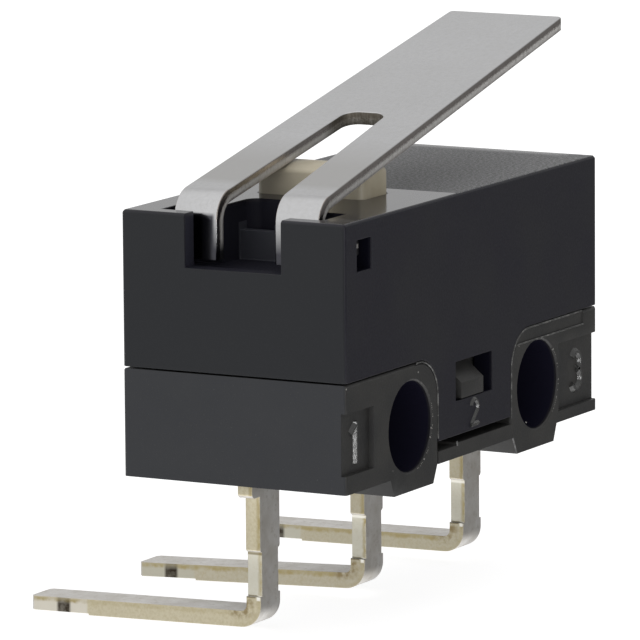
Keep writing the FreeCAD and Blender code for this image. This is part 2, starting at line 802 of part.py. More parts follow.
def make_closed_terminal():
    """Far terminal: rises past the blade's end and carries its contact above the blade."""
    half = stem_width / 2
    left = terminal_pitch - half
    right = terminal_pitch + half
    plan = [
        (carrier_left, -carrier_near),
        (carrier_right, -carrier_near),
        (carrier_right, carrier_neck),
        (right, carrier_neck),
        (right, carrier_far),
        (carrier_left, carrier_far),
    ]
    leg = at_pitch(terminal_leg(far_leg_droop), 1)
    return bent_carrier(leg, left, right, closed_carrier_bottom, plan).removeSplitter()


def contact_button(z0, z1, worn_end):
    """A round contact head with the edge of its working face eased."""
    head = Part.makeCylinder(contact_radius, z1 - z0, FreeCAD.Vector(contact_x, 0, z0))
    rim = edges_at(head, lambda point: abs(point.z - worn_end) < touch)
    rim = [edge for edge in rim if len(edge.Vertexes) == 1]
    return head.makeFillet(contact_edge, rim)


def contact_shank_bar(z0, z1):
    """The shank of a contact."""
    return Part.makeCylinder(contact_shank, z1 - z0, FreeCAD.Vector(contact_x, 0, z0))


def make_moving_contact():
    """The double-headed contact riveted through the blade."""
    upper = contact_button(blade_top, blade_top + contact_head, blade_top + contact_head)
    lower = contact_button(blade_bottom - contact_head, blade_bottom, blade_bottom - contact_head)
    return upper.fuse([contact_shank_bar(blade_bottom, blade_top), lower]).removeSplitter()


def make_open_contact():
    """The lower fixed contact, riveted into the middle terminal's carrier."""
    head = contact_button(carrier_top, open_contact_top, open_contact_top)
    return head.fuse(contact_shank_bar(seam_height, carrier_top)).removeSplitter()


def make_closed_contact():
    """The upper fixed contact, riveted into the far terminal's carrier."""
    head = contact_button(closed_contact_face, closed_carrier_bottom, closed_contact_face)
    shank = contact_shank_bar(closed_carrier_bottom, closed_carrier_bottom + terminal_sheet)
    return head.fuse(shank).removeSplitter()


def blade_tongue():
    """The curved spring tongue that runs from the contact end back to its post."""
    tip_x = tongue_post_right - tongue_notch_depth + tongue_end_play
    run = blade_window_right - tip_x
    radius = (run * run + tongue_tip_drop * tongue_tip_drop) / (2 * tongue_tip_drop)
    centre = FreeCAD.Vector(blade_window_right, -tongue_half_width, blade_height - radius)
    sweep = math.asin(run / radius)

    def at(distance, turn):
        return centre + FreeCAD.Vector(-distance * math.sin(turn), 0, distance * math.cos(turn))

    high = radius + blade_sheet / 2
    low = radius - blade_sheet / 2
    edges = [
        Part.Arc(at(high, 0), at(high, sweep / 2), at(high, sweep)).toShape(),
        Part.LineSegment(at(high, sweep), at(low, sweep)).toShape(),
        Part.Arc(at(low, sweep), at(low, sweep / 2), at(low, 0)).toShape(),
        Part.LineSegment(at(low, 0), at(high, 0)).toShape(),
    ]
    return Part.Face(Part.Wire(edges)).extrude(FreeCAD.Vector(0, 2 * tongue_half_width, 0))


def make_blade():
    """The moving blade: a frame hooked on the common post, with its tongue in the middle."""
    plate = box(blade_left, blade_right, -blade_half_width, blade_half_width, blade_bottom, blade_top)
    plate = plate.makeFillet(blade_corner_radius, edges_along(plate, FreeCAD.Vector(0, 0, 1)))
    window = box(blade_window_left, blade_window_right, -blade_window_half, blade_window_half,
                 blade_bottom, blade_top)
    post_window = box(blade_bar_edge, blade_bar_edge + anchor_window_length,
                      -anchor_window_half, anchor_window_half, blade_bottom, blade_top)
    plate = plate.cut([window, post_window, contact_shank_bar(blade_bottom, blade_top)])
    return plate.fuse(blade_tongue()).removeSplitter()


def main():
    """Builds every piece and writes one file for each."""
    common_terminal = make_common_terminal()
    open_terminal = make_open_terminal()
    closed_terminal = make_closed_terminal()
    open_contact = make_open_contact()
    closed_contact = make_closed_contact()
    pieces = {
        "base": make_base([common_terminal, open_terminal, closed_terminal]),
        "cover": make_cover(),
        "hinge_lever": make_lever(),
        "plunger": make_plunger(),
        "moving_blade": make_blade(),
        "moving_contact": make_moving_contact(),
        "common_terminal": common_terminal,
        "normally_open_terminal": open_terminal.cut(open_contact),
        "normally_closed_terminal": closed_terminal.cut(closed_contact),
        "normally_open_contact": open_contact,
        "normally_closed_contact": closed_contact,
    }
    os.makedirs("parts", exist_ok=True)
    for node, shape in pieces.items():
        shape.exportStep("parts/" + node + ".step")
        box_of = shape.BoundBox
        corners = (box_of.XMin, box_of.XMax, box_of.YMin, box_of.YMax, box_of.ZMin, box_of.ZMax)
        print(node, len(shape.Solids), shape.isValid(), round(shape.Volume, 3),
              [round(value, 2) for value in corners])


main()
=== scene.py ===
"""Lever micro switch: finished surfaces, moulded detail, plain numbers, camera and studio light."""

import logging
import math
from abc import ABC, abstractmethod
from dataclasses import dataclass
from enum import Enum

import bmesh
import bpy
from mathutils import Matrix, Vector

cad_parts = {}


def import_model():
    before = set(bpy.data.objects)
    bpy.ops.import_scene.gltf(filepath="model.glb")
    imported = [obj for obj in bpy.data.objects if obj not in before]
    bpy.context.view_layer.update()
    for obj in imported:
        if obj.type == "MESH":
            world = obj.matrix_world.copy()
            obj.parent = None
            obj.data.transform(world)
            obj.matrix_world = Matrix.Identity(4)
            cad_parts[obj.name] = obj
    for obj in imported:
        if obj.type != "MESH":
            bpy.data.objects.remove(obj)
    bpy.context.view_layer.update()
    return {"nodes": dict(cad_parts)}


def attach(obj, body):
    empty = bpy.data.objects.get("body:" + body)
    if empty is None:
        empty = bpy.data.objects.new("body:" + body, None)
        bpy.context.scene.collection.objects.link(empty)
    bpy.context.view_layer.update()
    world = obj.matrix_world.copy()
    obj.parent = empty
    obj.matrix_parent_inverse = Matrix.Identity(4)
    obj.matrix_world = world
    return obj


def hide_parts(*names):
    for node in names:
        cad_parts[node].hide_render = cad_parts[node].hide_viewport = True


logging.basicConfig(level=logging.INFO, format="%(message)s")
log = logging.getLogger("lever_micro_switch")

MM = 0.001
END_SKIN = 0.015
# Painted shade: the housing's end that faces -X takes a darker copy of its plastic at this share.
END_SHADE_SHARE = 0.8
NOISE_SPAN = (0.3, 0.7)
GRAIN_FLATNESS = 0.6
SMALLEST_GRAIN = 0.35
Colour = tuple[float, float, float]
Point = tuple[float, float, float]
Span = tuple[float, float]
Spot = tuple[float, float]
Line = list[Spot]
Socket = bpy.types.NodeSocket
Node = bpy.types.Node
Material = bpy.types.Material
Piece = bpy.types.Object
Shape = bmesh.types.BMesh


class Body(Enum):
    """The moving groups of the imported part."""

    HOUSING = "housing"
    LEVER = "lever"
    PLUNGER = "plunger"
    BLADE = "blade"


class Slot(Enum):
    """The material slots of the record."""

    BASE = "base_plastic"
    COVER = "cover_plastic"
    LEVER = "lever_steel"
    PLUNGER = "plunger_plastic"
    BLADE = "blade_alloy"
    CONTACT = "contact_silver"
    TERMINAL = "terminal_plating"


@dataclass(frozen=True)
class Bend:
    """A bend between two flat runs of a sheet.

    Attributes:
        centre: A point on the bend's axis.
        radius: The radius of the outer side.
        sides: The outward directions of the two flat runs.
    """

    centre: Vector
    radius: float
    sides: tuple[Vector, Vector]


class NodeTree:
    """The nodes of any tree, added and linked a line at a time."""

    def __init__(self, tree: bpy.types.NodeTree) -> None:
        """Takes up a tree.

        Args:
            tree: The tree that gets the nodes.
        """
        self.nodes = tree.nodes
        self.links = tree.links

    def feed(self, socket: Socket, value: object) -> None:
        """Gives an input its value or its link.

        Args:
            socket: The input.
            value: A number, a colour, a vector or another node's output.
        """
        if isinstance(value, Socket):
            self.links.new(value, socket)
        elif isinstance(value, (int, float)):
            socket.default_value = value
        else:
            room = len(socket.default_value)
            socket.default_value = (*value, 1.0)[:room]

    def add(self, kind: str, values: dict[str | int, object] | None = None,
            output: str | int = 0, **settings: object) -> Socket:
        """Adds a node.

        Args:
            kind: The node's type.
            values: The value or link of each input that is fed.
            output: The output that is wanted.
            settings: The node's own options.

        Returns:
            The output.
        """
        node = self.nodes.new(kind)
        for key, value in settings.items():
            setattr(node, key, value)
        for key, value in (values or {}).items():
            self.feed(node.inputs[key], value)
        return node.outputs[output]

    def math(self, operation: str, *values: object) -> Socket:
        """One step of arithmetic.

        Args:
            operation: The name of the operation.
            values: Its numbers or links.

        Returns:
            A number output.
        """
        return self.add("ShaderNodeMath", dict(enumerate(values)), operation=operation)

    def ramp(self, value: object, low: float, high: float, to_low: float = 0.0,
             to_high: float = 1.0, curve: str = "LINEAR") -> Socket:
        """Turns one range of numbers into another, held at its ends.

        Args:
            value: What is read.
            low: The start of the range read.
            high: The end of the range read.
            to_low: The result at the start.
            to_high: The result at the end.
            curve: The way from one end to the other.

        Returns:
            A number output.
        """
        names = ("Value", "From Min", "From Max", "To Min", "To Max")
        return self.add("ShaderNodeMapRange", dict(zip(names, (value, low, high, to_low, to_high))),
                        clamp=True, interpolation_type=curve)


class ShaderTree(NodeTree):
    """One material's nodes, read in millimetres."""

    def __init__(self, name: str) -> None:
        """Starts a material with its surface shader.

        Args:
            name: The material's name.
        """
        self.material = bpy.data.materials.new(name)
        self.material.use_nodes = True
        super().__init__(self.material.node_tree)
        self.surface = self.nodes["Principled BSDF"]
        self._place: Socket | None = None
        self._split: Node | None = None

    def set(self, **values: object) -> None:
        """Sets inputs of the surface shader; an underscore stands for a space.

        Args:
            values: Each input's value or link.
        """
        for key, value in values.items():
            self.feed(self.surface.inputs[key.replace("_", " ")], value)

    def place(self) -> Socket:
        """The point on the piece, in millimetres of the row frame.

        Returns:
            A vector output.
        """
        if self._place is None:
            place = self.add("ShaderNodeTexCoord", output="Object")
            self._place = self.add("ShaderNodeVectorMath", {0: place, "Scale": 1.0 / MM},
                                   operation="SCALE")
        return self._place

    def axis(self, letter: str) -> Socket:
        """One coordinate of the place.

        Args:
            letter: X, Y or Z.

        Returns:
            A number output.
        """
        if self._split is None:
            self._split = self.add("ShaderNodeSeparateXYZ", {0: self.place()}).node
        return self._split.outputs[letter]

    def stretched(self, scale: Point) -> Socket:
        """The place stretched along the axes, for a grain with a direction.

        Args:
            scale: The factor along each axis.

        Returns:
            A vector output.
        """
        return self.add("ShaderNodeMapping", {"Vector": self.place(), "Scale": scale})

    def noise(self, size: float, detail: float = 2.0, rough: float = 0.5,
              at: Socket | None = None) -> Socket:
        """Soft noise from 0 to 1.

        Args:
            size: The size of one grain, in millimetres.
            detail: How many finer layers lie on it.
            rough: How strong the finer layers are.
            at: Where it is read, or None for the place.

        Returns:
            A number output.
        """
        return self.add("ShaderNodeTexNoise", {
            "Vector": at or self.place(), "Scale": 1.0 / size, "Detail": detail,
            "Roughness": rough})

    def cells(self, size: float) -> Socket:
        """The distance from scattered points, for specks.

        Args:
            size: The distance between the points, in millimetres.

        Returns:
            A number output.
        """
        return self.add("ShaderNodeTexVoronoi", {"Vector": self.place(), "Scale": 1.0 / size},
                        "Distance")

    def fade(self, value: object, low: float, high: float) -> Socket:
        """A share that falls from 1 to 0 between two numbers."""
        return self.ramp(value, low, high, 1.0, 0.0)

    def spread(self, noise: Socket, low: float, high: float) -> Socket:
        """Stretches the middle of a noise over another range."""
        return self.ramp(noise, *NOISE_SPAN, low, high)

    def both(self, first: object, second: object) -> Socket:
        """The product of two shares."""
        return self.math("MULTIPLY", first, second)

    def rest(self, share: object) -> Socket:
        """What a share leaves of 1."""
        return self.math("SUBTRACT", 1.0, share)

    def off(self, letter: str) -> Socket:
        """The distance from the middle along the axis X, Y or Z."""
        return self.math("ABSOLUTE", self.axis(letter))

    def reach(self, first: object, second: object) -> Socket:
        """The length of two steps at right angles."""
        squares = self.math("ADD", self.both(first, first), self.both(second, second))
        return self.math("SQRT", squares)

    def end_shade_share(self, half_length: float) -> Socket:
        """The share of the painted end shade: nothing but on the housing's end that faces -X."""
        return self.both(self.math("LESS_THAN", self.axis("X"), END_SKIN - half_length), END_SHADE_SHARE)

    def beyond(self, centre: Vector, direction: Vector) -> Socket:
        """How far the place lies past a centre along a direction, and 0 before it.

        Args:
            centre: The centre, in millimetres.
            direction: The direction, of length 1.

        Returns:
            A number output.
        """
        along = self.add("ShaderNodeVectorMath", {0: self.place(), 1: direction}, "Value",
                         operation="DOT_PRODUCT")
        past = self.math("SUBTRACT", along, centre.dot(direction))
        return self.math("MAXIMUM", past, 0.0)

    def bend_depth(self, bend: Bend, sheet: float) -> Socket:
        """How deep the place lies in a bent sheet, from 0 on its outer side to 1 on its inner side.

        Args:
            bend: The sheet's bend.
            sheet: The sheet's thickness, in millimetres.

        Returns:
            A number output.
        """
        out = self.reach(*[self.beyond(bend.centre, side) for side in bend.sides])
        return self.math("DIVIDE", self.math("SUBTRACT", bend.radius, out), sheet)

    def inset(self, letter: str, half: float) -> Socket:
        """How deep the place lies along one axis inside a block, by half the block's size."""
        return self.math("SUBTRACT", half, self.off(letter))

    def band(self, value: object, start: float, end: float, soft: float) -> Socket:
        """A share that is 1 between two numbers and fades out on both sides.

        Args:
            value: What is read.
            start: Where the band starts.
            end: Where the band ends.
            soft: The width of the fade.

        Returns:
            A number output.
        """
        return self.both(self.ramp(value, start - soft, start), self.fade(value, end, end + soft))

    def blend(self, low: object, high: object, factor: object) -> Socket:
        """A colour between two others.

        Args:
            low: The colour at factor 0.
            high: The colour at factor 1.
            factor: The share of the second.

        Returns:
            A colour output.
        """
        return self.add("ShaderNodeMix", {0: factor, 6: low, 7: high}, 2, data_type="RGBA")

    def layers(self, ground: Colour, *coats: tuple[object, object]) -> Socket:
        """Colours laid over one another.

        Args:
            ground: The lowest colour.
            coats: The colour and the share of each coat, from the lowest up.

        Returns:
            A colour output.
        """
        tone = ground
        for colour, share in coats:
            tone = self.blend(tone, colour, share)
        return tone

    def bump(self, height: object, depth: float, under: Socket | None = None) -> Socket:
        """Raises the surface by a pattern.

        Args:
            height: The pattern, 0 to 1.
            depth: How deep the pattern is, in millimetres.
            under: Another bump that this one lies on.

        Returns:
            A normal output.
        """
        values = {"Height": height, "Distance": depth * MM, "Strength": 1.0}
        if under is not None:
            values["Normal"] = under
        return self.add("ShaderNodeBump", values)


@dataclass(frozen=True)
class Finish(ABC):
    """A surface finish that becomes one material."""

    name: str

    def make(self) -> Material:
        """Builds the material.

        Returns:
            The material.
        """
        tree = ShaderTree(self.name)
        self.paint(tree)
        return tree.material

    @abstractmethod
    def paint(self, tree: ShaderTree) -> None:
        """Sets the surface.

        Args:
            tree: The material's nodes.
        """


@dataclass(frozen=True)
class MouldedBlack(Finish):
    """Black moulded plastic with a fine spark-eroded grain and smooth holes, darkened inside by
    painted shade.
    """

    deep: Colour
    pale: Colour
    half_length: float
    half_width: float
    hole_place: float
    hole_radius: float
    dust: Colour = (0.15, 0.145, 0.125)
    # Painted shade: the darker copy of the plastic on the end that faces -X.
    end_shade: Colour = (0.016, 0.018, 0.023)
    # Painted shade: the dark tone and the lower specular of the hole walls.
    hole_shade: Colour = (0.009, 0.0085, 0.018)
    hole_specular: float = 0.08
    cloud: float = 1.1
    grain: float = 0.05
    grain_depth: float = 0.003
    speck_spacing: float = 0.3
    roughness: float = 0.44
    specular: float = 0.42

    def paint(self, tree: ShaderTree) -> None:
        """Lays grain and dust on the plastic, paints shade into the holes and darkens the end face
        with painted shade.
        """
        fine = tree.noise(self.grain, 3.0, 0.6)
        specks = tree.fade(tree.cells(self.speck_spacing), 0.03, 0.06)
        dusty = tree.both(specks, tree.ramp(tree.noise(0.9, 1.0), 0.58, 0.7, 0.0, 0.6))
        # Painted shade in the holes: a share that is 1 on the hole walls.
        beside = tree.math("SUBTRACT", tree.off("X"), self.hole_place)
        from_axis = tree.reach(beside, tree.axis("Z"))
        past_wall = tree.fade(from_axis, self.hole_radius + 0.005, self.hole_radius + 0.02)
        in_hole = tree.both(past_wall, tree.ramp(tree.inset("Y", self.half_width), 0.02, 0.12))
        tree.set(
            Base_Color=tree.layers(
                self.deep,
                (self.pale, tree.ramp(tree.noise(self.cloud, 4.0, 0.6), 0.35, 0.68)),
                (self.end_shade, tree.end_shade_share(self.half_length)),
                (self.dust, tree.ramp(fine, 0.6, 0.85, 0.0, 0.22)),
                (self.dust, dusty),
                (self.hole_shade, in_hole),
            ),
            Roughness=tree.spread(fine, self.roughness - 0.06, self.roughness + 0.1),
            Specular_IOR_Level=tree.ramp(in_hole, 0.0, 1.0, self.specular, self.hole_specular),
            Normal=tree.bump(fine, self.grain_depth),
        )


@dataclass(frozen=True)
class MarkBlack(Finish):
    """Smooth black plastic of the raised numbers and of the flash left along the moulded rims."""

    tone: Colour
    fleck: Colour
    roughness: float
    specular: float
    spread: float = 0.05
    grain_depth: float = 0.0006

    def paint(self, tree: ShaderTree) -> None:
        """Flecks the smooth plastic."""
        fine = tree.noise(0.04, 2.0)
        flecks = tree.ramp(tree.noise(0.14, 3.0, 0.6), 0.46, 0.62)
        tree.set(
            Base_Color=tree.blend(self.tone, self.fleck, flecks),
            Roughness=tree.spread(fine, self.roughness - 0.03, self.roughness + self.spread),
            Specular_IOR_Level=self.specular,
            Normal=tree.bump(fine, self.grain_depth),
        )


@dataclass(frozen=True)
class CoverBlack(Finish):
    """The cover's plastic: fine grain at the sides, coarse on top, polished beside the plunger;
    painted shade inside, painted light in the lever's well and on its rib.
    """

    half_length: float
    half_width: float
    top: float
    deep: Colour = (0.0075, 0.007, 0.0135)
    pale: Colour = (0.0105, 0.0105, 0.0145)
    # Painted shade: the darker copy of the plastic on the end that faces -X.
    end_shade: Colour = (0.003, 0.0045, 0.0065)
    speck: Colour = (0.022, 0.022, 0.027)
    # Painted shade: the colour of the inside, deeper than the outer faces.
    shade: Colour = (0.0055, 0.0055, 0.0105)
    # Painted light: a lighter inside colour in the lever's well, paler than the outer faces.
    well_light: Colour = (0.02, 0.02, 0.028)
    well_half: float = 1.95
    well_bottom: float = 3.6
    # Painted light: a pale face on the rib inside the well.
    rib_light: Colour = (0.05, 0.052, 0.064)
    rib_from: float = -4.1
    rib_to: float = -3.75
    rib_top: float = 4.6
    coarse_tone: Colour = (0.022, 0.023, 0.026)
    coarse_pale: Colour = (0.24, 0.24, 0.245)
    grain: float = 0.05
    grain_depth: float = 0.002
    coarse_grain: float = 0.075
    coarse_depth: float = 0.022
    top_skin: float = 0.015
    polish_end: float = -0.77
    border: float = 0.6
    border_end: float = -2.5
    specular: float = 0.4
    inner_specular: float = 0.04

    def paint(self, tree: ShaderTree) -> None:
        """Tells the sides, the top, the polished strip and the inside apart, and paints shade and
        light inside.
        """
        on_top = tree.math("GREATER_THAN", tree.axis("Z"), self.top - self.top_skin)
        beyond = tree.ramp(tree.axis("X"), self.polish_end - 0.02, self.polish_end + 0.02)
        from_end = tree.math("SUBTRACT", self.half_length, tree.axis("X"))
        rim = tree.both(tree.fade(from_end, 0.2, self.border),
                        tree.ramp(tree.axis("Y"), self.border_end, self.border_end + 0.5))
        coarse = tree.both(on_top, tree.both(beyond, tree.rest(rim)))
        polished = tree.math("SUBTRACT", on_top, coarse)
        # Painted shade by depth inside the cover, with lower specular.
        walls = tree.math("MINIMUM", tree.inset("X", self.half_length),
                          tree.inset("Y", self.half_width))
        depth = tree.math("MINIMUM", walls, tree.math("SUBTRACT", self.top, tree.axis("Z")))
        under = tree.ramp(depth, 0.01, 0.1)
        on_rib = tree.both(tree.band(tree.axis("X"), self.rib_from, self.rib_to, 0.02),
                           tree.fade(tree.axis("Z"), self.rib_top, self.rib_top + 0.02))
        inside = tree.both(under, tree.rest(on_rib))
        in_well = tree.both(tree.math("LESS_THAN", tree.off("Y"), self.well_half),
                            tree.math("GREATER_THAN", tree.axis("Z"), self.well_bottom))
        fine = tree.noise(self.grain, 2.0)
        rough = tree.noise(self.coarse_grain, 3.0, 0.7)
        grained = tree.both(tree.spread(fine, 0.4, 0.5), tree.rest(polished))
        smooth = tree.both(tree.ramp(fine, 0.2, 0.8, 0.12, 0.18), polished)
        top_tone = tree.blend(self.coarse_tone, self.coarse_pale, tree.ramp(rough, 0.4, 0.66))
        low_bump = tree.bump(tree.both(fine, tree.rest(on_top)), self.grain_depth)
        tree.set(
            Base_Color=tree.layers(
                self.deep,
                (self.pale, tree.ramp(tree.noise(1.8, 3.0), 0.35, 0.7)),
                (self.speck, tree.ramp(tree.noise(0.08, 3.0, 0.7), 0.45, 0.75, 0.0, 0.4)),
                (self.end_shade, tree.end_shade_share(self.half_length)),
                (tree.blend(self.shade, self.well_light, in_well), inside),
                (self.rib_light, tree.both(on_rib, under)),
                (top_tone, coarse),
            ),
            Roughness=tree.math("ADD", grained, smooth),
            Specular_IOR_Level=tree.ramp(inside, 0.0, 1.0, self.specular, self.inner_specular),
            Normal=tree.bump(tree.both(rough, coarse), self.coarse_depth, low_bump),
        )


@dataclass(frozen=True)
class SatinSteel(Finish):
    """Rolled stainless sheet, evenly satin."""

    name: str = "lever_steel_finish"
    bright: Colour = (0.58, 0.58, 0.588)
    dull: Colour = (0.54, 0.54, 0.545)
    root: Colour = (0.45, 0.445, 0.435)
    root_start: Span = (-4.95, -4.6)
    root_end: Span = (-3.4, -1.6)
    # Painted shade on the arms' feet, on the ears and by the end wall, standing in for the dark
    # notch that they reflect.
    painted_shade: Colour = (0.08, 0.08, 0.092)
    shade_heights: Span = (4.2, 4.8)
    shade_side: float = 0.8
    shade_top: Span = (4.96, 5.06)
    ear_root: float = 1.88
    roughness: float = 0.17

    def paint(self, tree: ShaderTree) -> None:
        """Darkens the sheet near its root and paints shade on its feet, by the end wall and on the
        ears.
        """
        pits = tree.noise(0.05, 2.0)
        near_root = tree.both(tree.ramp(tree.axis("X"), *self.root_start),
                              tree.fade(tree.axis("X"), *self.root_end))
        rolled = tree.layers(
            self.bright,
            (self.dull, tree.ramp(tree.noise(2.4, 3.0), 0.3, 0.7)),
            (self.root, tree.ramp(tree.noise(0.11, 3.0, 0.65), 0.35, 0.7, 0.0, 0.3)),
            (self.root, near_root),
        )
        # Painted shade on the arm face beside the end wall.
        sheltered = tree.both(tree.ramp(tree.axis("Y"), self.shade_side, self.shade_side + 0.08),
                              tree.fade(tree.axis("Z"), *self.shade_top))
        risen = tree.both(tree.ramp(tree.axis("Z"), *self.shade_heights), tree.rest(sheltered))
        unshaded = tree.both(tree.math("LESS_THAN", tree.off("Y"), self.ear_root), risen)
        tree.set(
            Base_Color=tree.blend(self.painted_shade, rolled, unshaded),
            Metallic=1.0,
            Roughness=tree.spread(pits, self.roughness - 0.03, self.roughness + 0.04),
            Normal=tree.bump(pits, 0.00008),
        )


@dataclass(frozen=True)
class ShearedSteel(Finish):
    """The lever's cut edge: burnished dark above, torn pale below, ragged at the burr."""

    bend: Bend
    sheet: float
    burnished: Colour = (0.5, 0.46, 0.435)
    torn: Colour = (0.68, 0.665, 0.645)
    # Painted shade on the feet and the ears, with a painted glint band left on the ears.
    painted_shade: Colour = (0.02, 0.02, 0.022)
    shade_heights: Span = (4.15, 4.45)
    # Dark torn streaks, and painted shade at the slot's rounded end.
    torn_dark_and_shade: Colour = (0.13, 0.115, 0.085)
    ear_root: float = 1.88
    ear_glint: Span = (4.46, 4.53)
    slot_reach: Span = (-0.45, 0.4)
    slot_half: float = 0.62

    def paint(self, tree: ShaderTree) -> None:
        """Tears the lower half of the cut, paints shade on the feet, the ears and the slot's end,
        and leaves a painted glint on the ears.
        """
        down = tree.bend_depth(self.bend, self.sheet)
        streaks = tree.noise(0.05, 3.0, 0.7, tree.stretched((1.0, 1.0, 0.25)))
        # Painted shade at the slot's rounded end.
        at_slot_end = tree.both(tree.band(tree.axis("X"), *self.slot_reach, 0.5),
                                tree.fade(tree.off("Y"), self.slot_half, self.slot_half + 0.05))
        shade = tree.math("MAXIMUM", tree.both(at_slot_end, tree.spread(streaks, 1.0, 0.6)),
                          tree.ramp(streaks, 0.5, 0.75, 0.0, 0.45))
        fine = tree.noise(0.06, 4.0, 0.75)
        edge = tree.math("ADD", down, tree.spread(fine, -0.08, 0.08))
        torn = tree.both(tree.ramp(edge, 0.4, 0.58), tree.ramp(edge, 0.8, 0.96, 1.0, 0.4))
        on_sheet = tree.math("LESS_THAN", tree.off("Y"), self.ear_root)
        # Painted glint: a lit band on the otherwise shaded ears.
        at_glint = tree.both(tree.band(tree.axis("Z"), *self.ear_glint, 0.03), 0.6)
        risen = tree.ramp(tree.axis("Z"), *self.shade_heights)
        unshaded = tree.math("ADD", tree.both(tree.rest(on_sheet), at_glint),
                          tree.both(on_sheet, risen))
        cut = tree.layers(self.burnished, (self.torn, torn), (self.torn_dark_and_shade, shade))
        tree.set(
            Base_Color=tree.blend(self.painted_shade, cut, unshaded),
            Metallic=tree.ramp(torn, 0.0, 1.0, 1.0, 0.75),
            Roughness=tree.math("MAXIMUM", tree.ramp(torn, 0.0, 1.0, 0.26, 0.6),
                                tree.both(at_slot_end, 0.6)),
            Normal=tree.bump(tree.both(fine, torn), 0.012),
        )


@dataclass(frozen=True)
class CreamPlastic(Finish):
    """Cream moulded plastic of the plunger."""

    name: str = "plunger_plastic_finish"
    pale: Colour = (0.6, 0.545, 0.42)
    warm: Colour = (0.5, 0.44, 0.31)
    # Painted shade: darker towards the top of the crown.
    crown_shade: Colour = (0.42, 0.385, 0.3)
    shaded: Colour = (0.36, 0.325, 0.25)
    crown_shade_heights: Span = (5.85, 6.25)
    shaded_sides: Span = (-0.3, 1.1)

    def paint(self, tree: ShaderTree) -> None:
        """Paints shade on the plunger's crown and on its far side."""
        fine = tree.noise(0.05, 2.0)
        tree.set(
            Base_Color=tree.layers(
                self.pale,
                (self.warm, tree.ramp(tree.noise(0.7, 3.0), 0.35, 0.7)),
                # Painted shade on the far side.
                (self.shaded, tree.ramp(tree.axis("Y"), *self.shaded_sides)),
                (self.crown_shade, tree.ramp(tree.axis("Z"), *self.crown_shade_heights, 0.0, 0.8)),
            ),
            Roughness=tree.spread(fine, 0.34, 0.46),
            Normal=tree.bump(fine, 0.002),
        )


@dataclass(frozen=True)
class PlatedFace(Finish):
    """The plated faces of a terminal."""

    name: str = "terminal_plating_finish"
    bright: Colour = (0.74, 0.72, 0.69)
    dull: Colour = (0.6, 0.57, 0.52)
    spot: Colour = (0.42, 0.37, 0.3)

    def paint(self, tree: ShaderTree) -> None:
        """Stains and spots the plating."""
        rolled = tree.noise(1.0, 2.0, 0.5, tree.stretched((16.0, 2.0, 2.0)))
        tree.set(
            Base_Color=tree.layers(
                self.bright,
                (self.dull, tree.ramp(tree.noise(0.5, 4.0, 0.6), 0.35, 0.7)),
                (self.spot, tree.ramp(tree.noise(0.13, 3.0, 0.65), 0.55, 0.72, 0.0, 0.45)),
            ),
            Metallic=0.85,
            Roughness=tree.spread(rolled, 0.38, 0.5),
            Normal=tree.bump(tree.noise(0.08, 3.0), 0.001, tree.bump(rolled, 0.0006)),
        )


@dataclass(frozen=True)
class LegLook:
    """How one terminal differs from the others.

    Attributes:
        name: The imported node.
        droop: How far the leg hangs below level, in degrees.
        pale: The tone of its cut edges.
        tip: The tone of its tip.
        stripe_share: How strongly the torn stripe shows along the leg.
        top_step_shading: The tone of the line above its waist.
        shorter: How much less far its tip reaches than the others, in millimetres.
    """

    name: str
    droop: float
    pale: Colour
    tip: Colour
    # top_step_shading: The tone of the painted line above its waist: a pale highlight on two
    # terminals, a dark shade on the common one.
    stripe_share: float
    top_step_shading: Colour
    shorter: float = 0.0


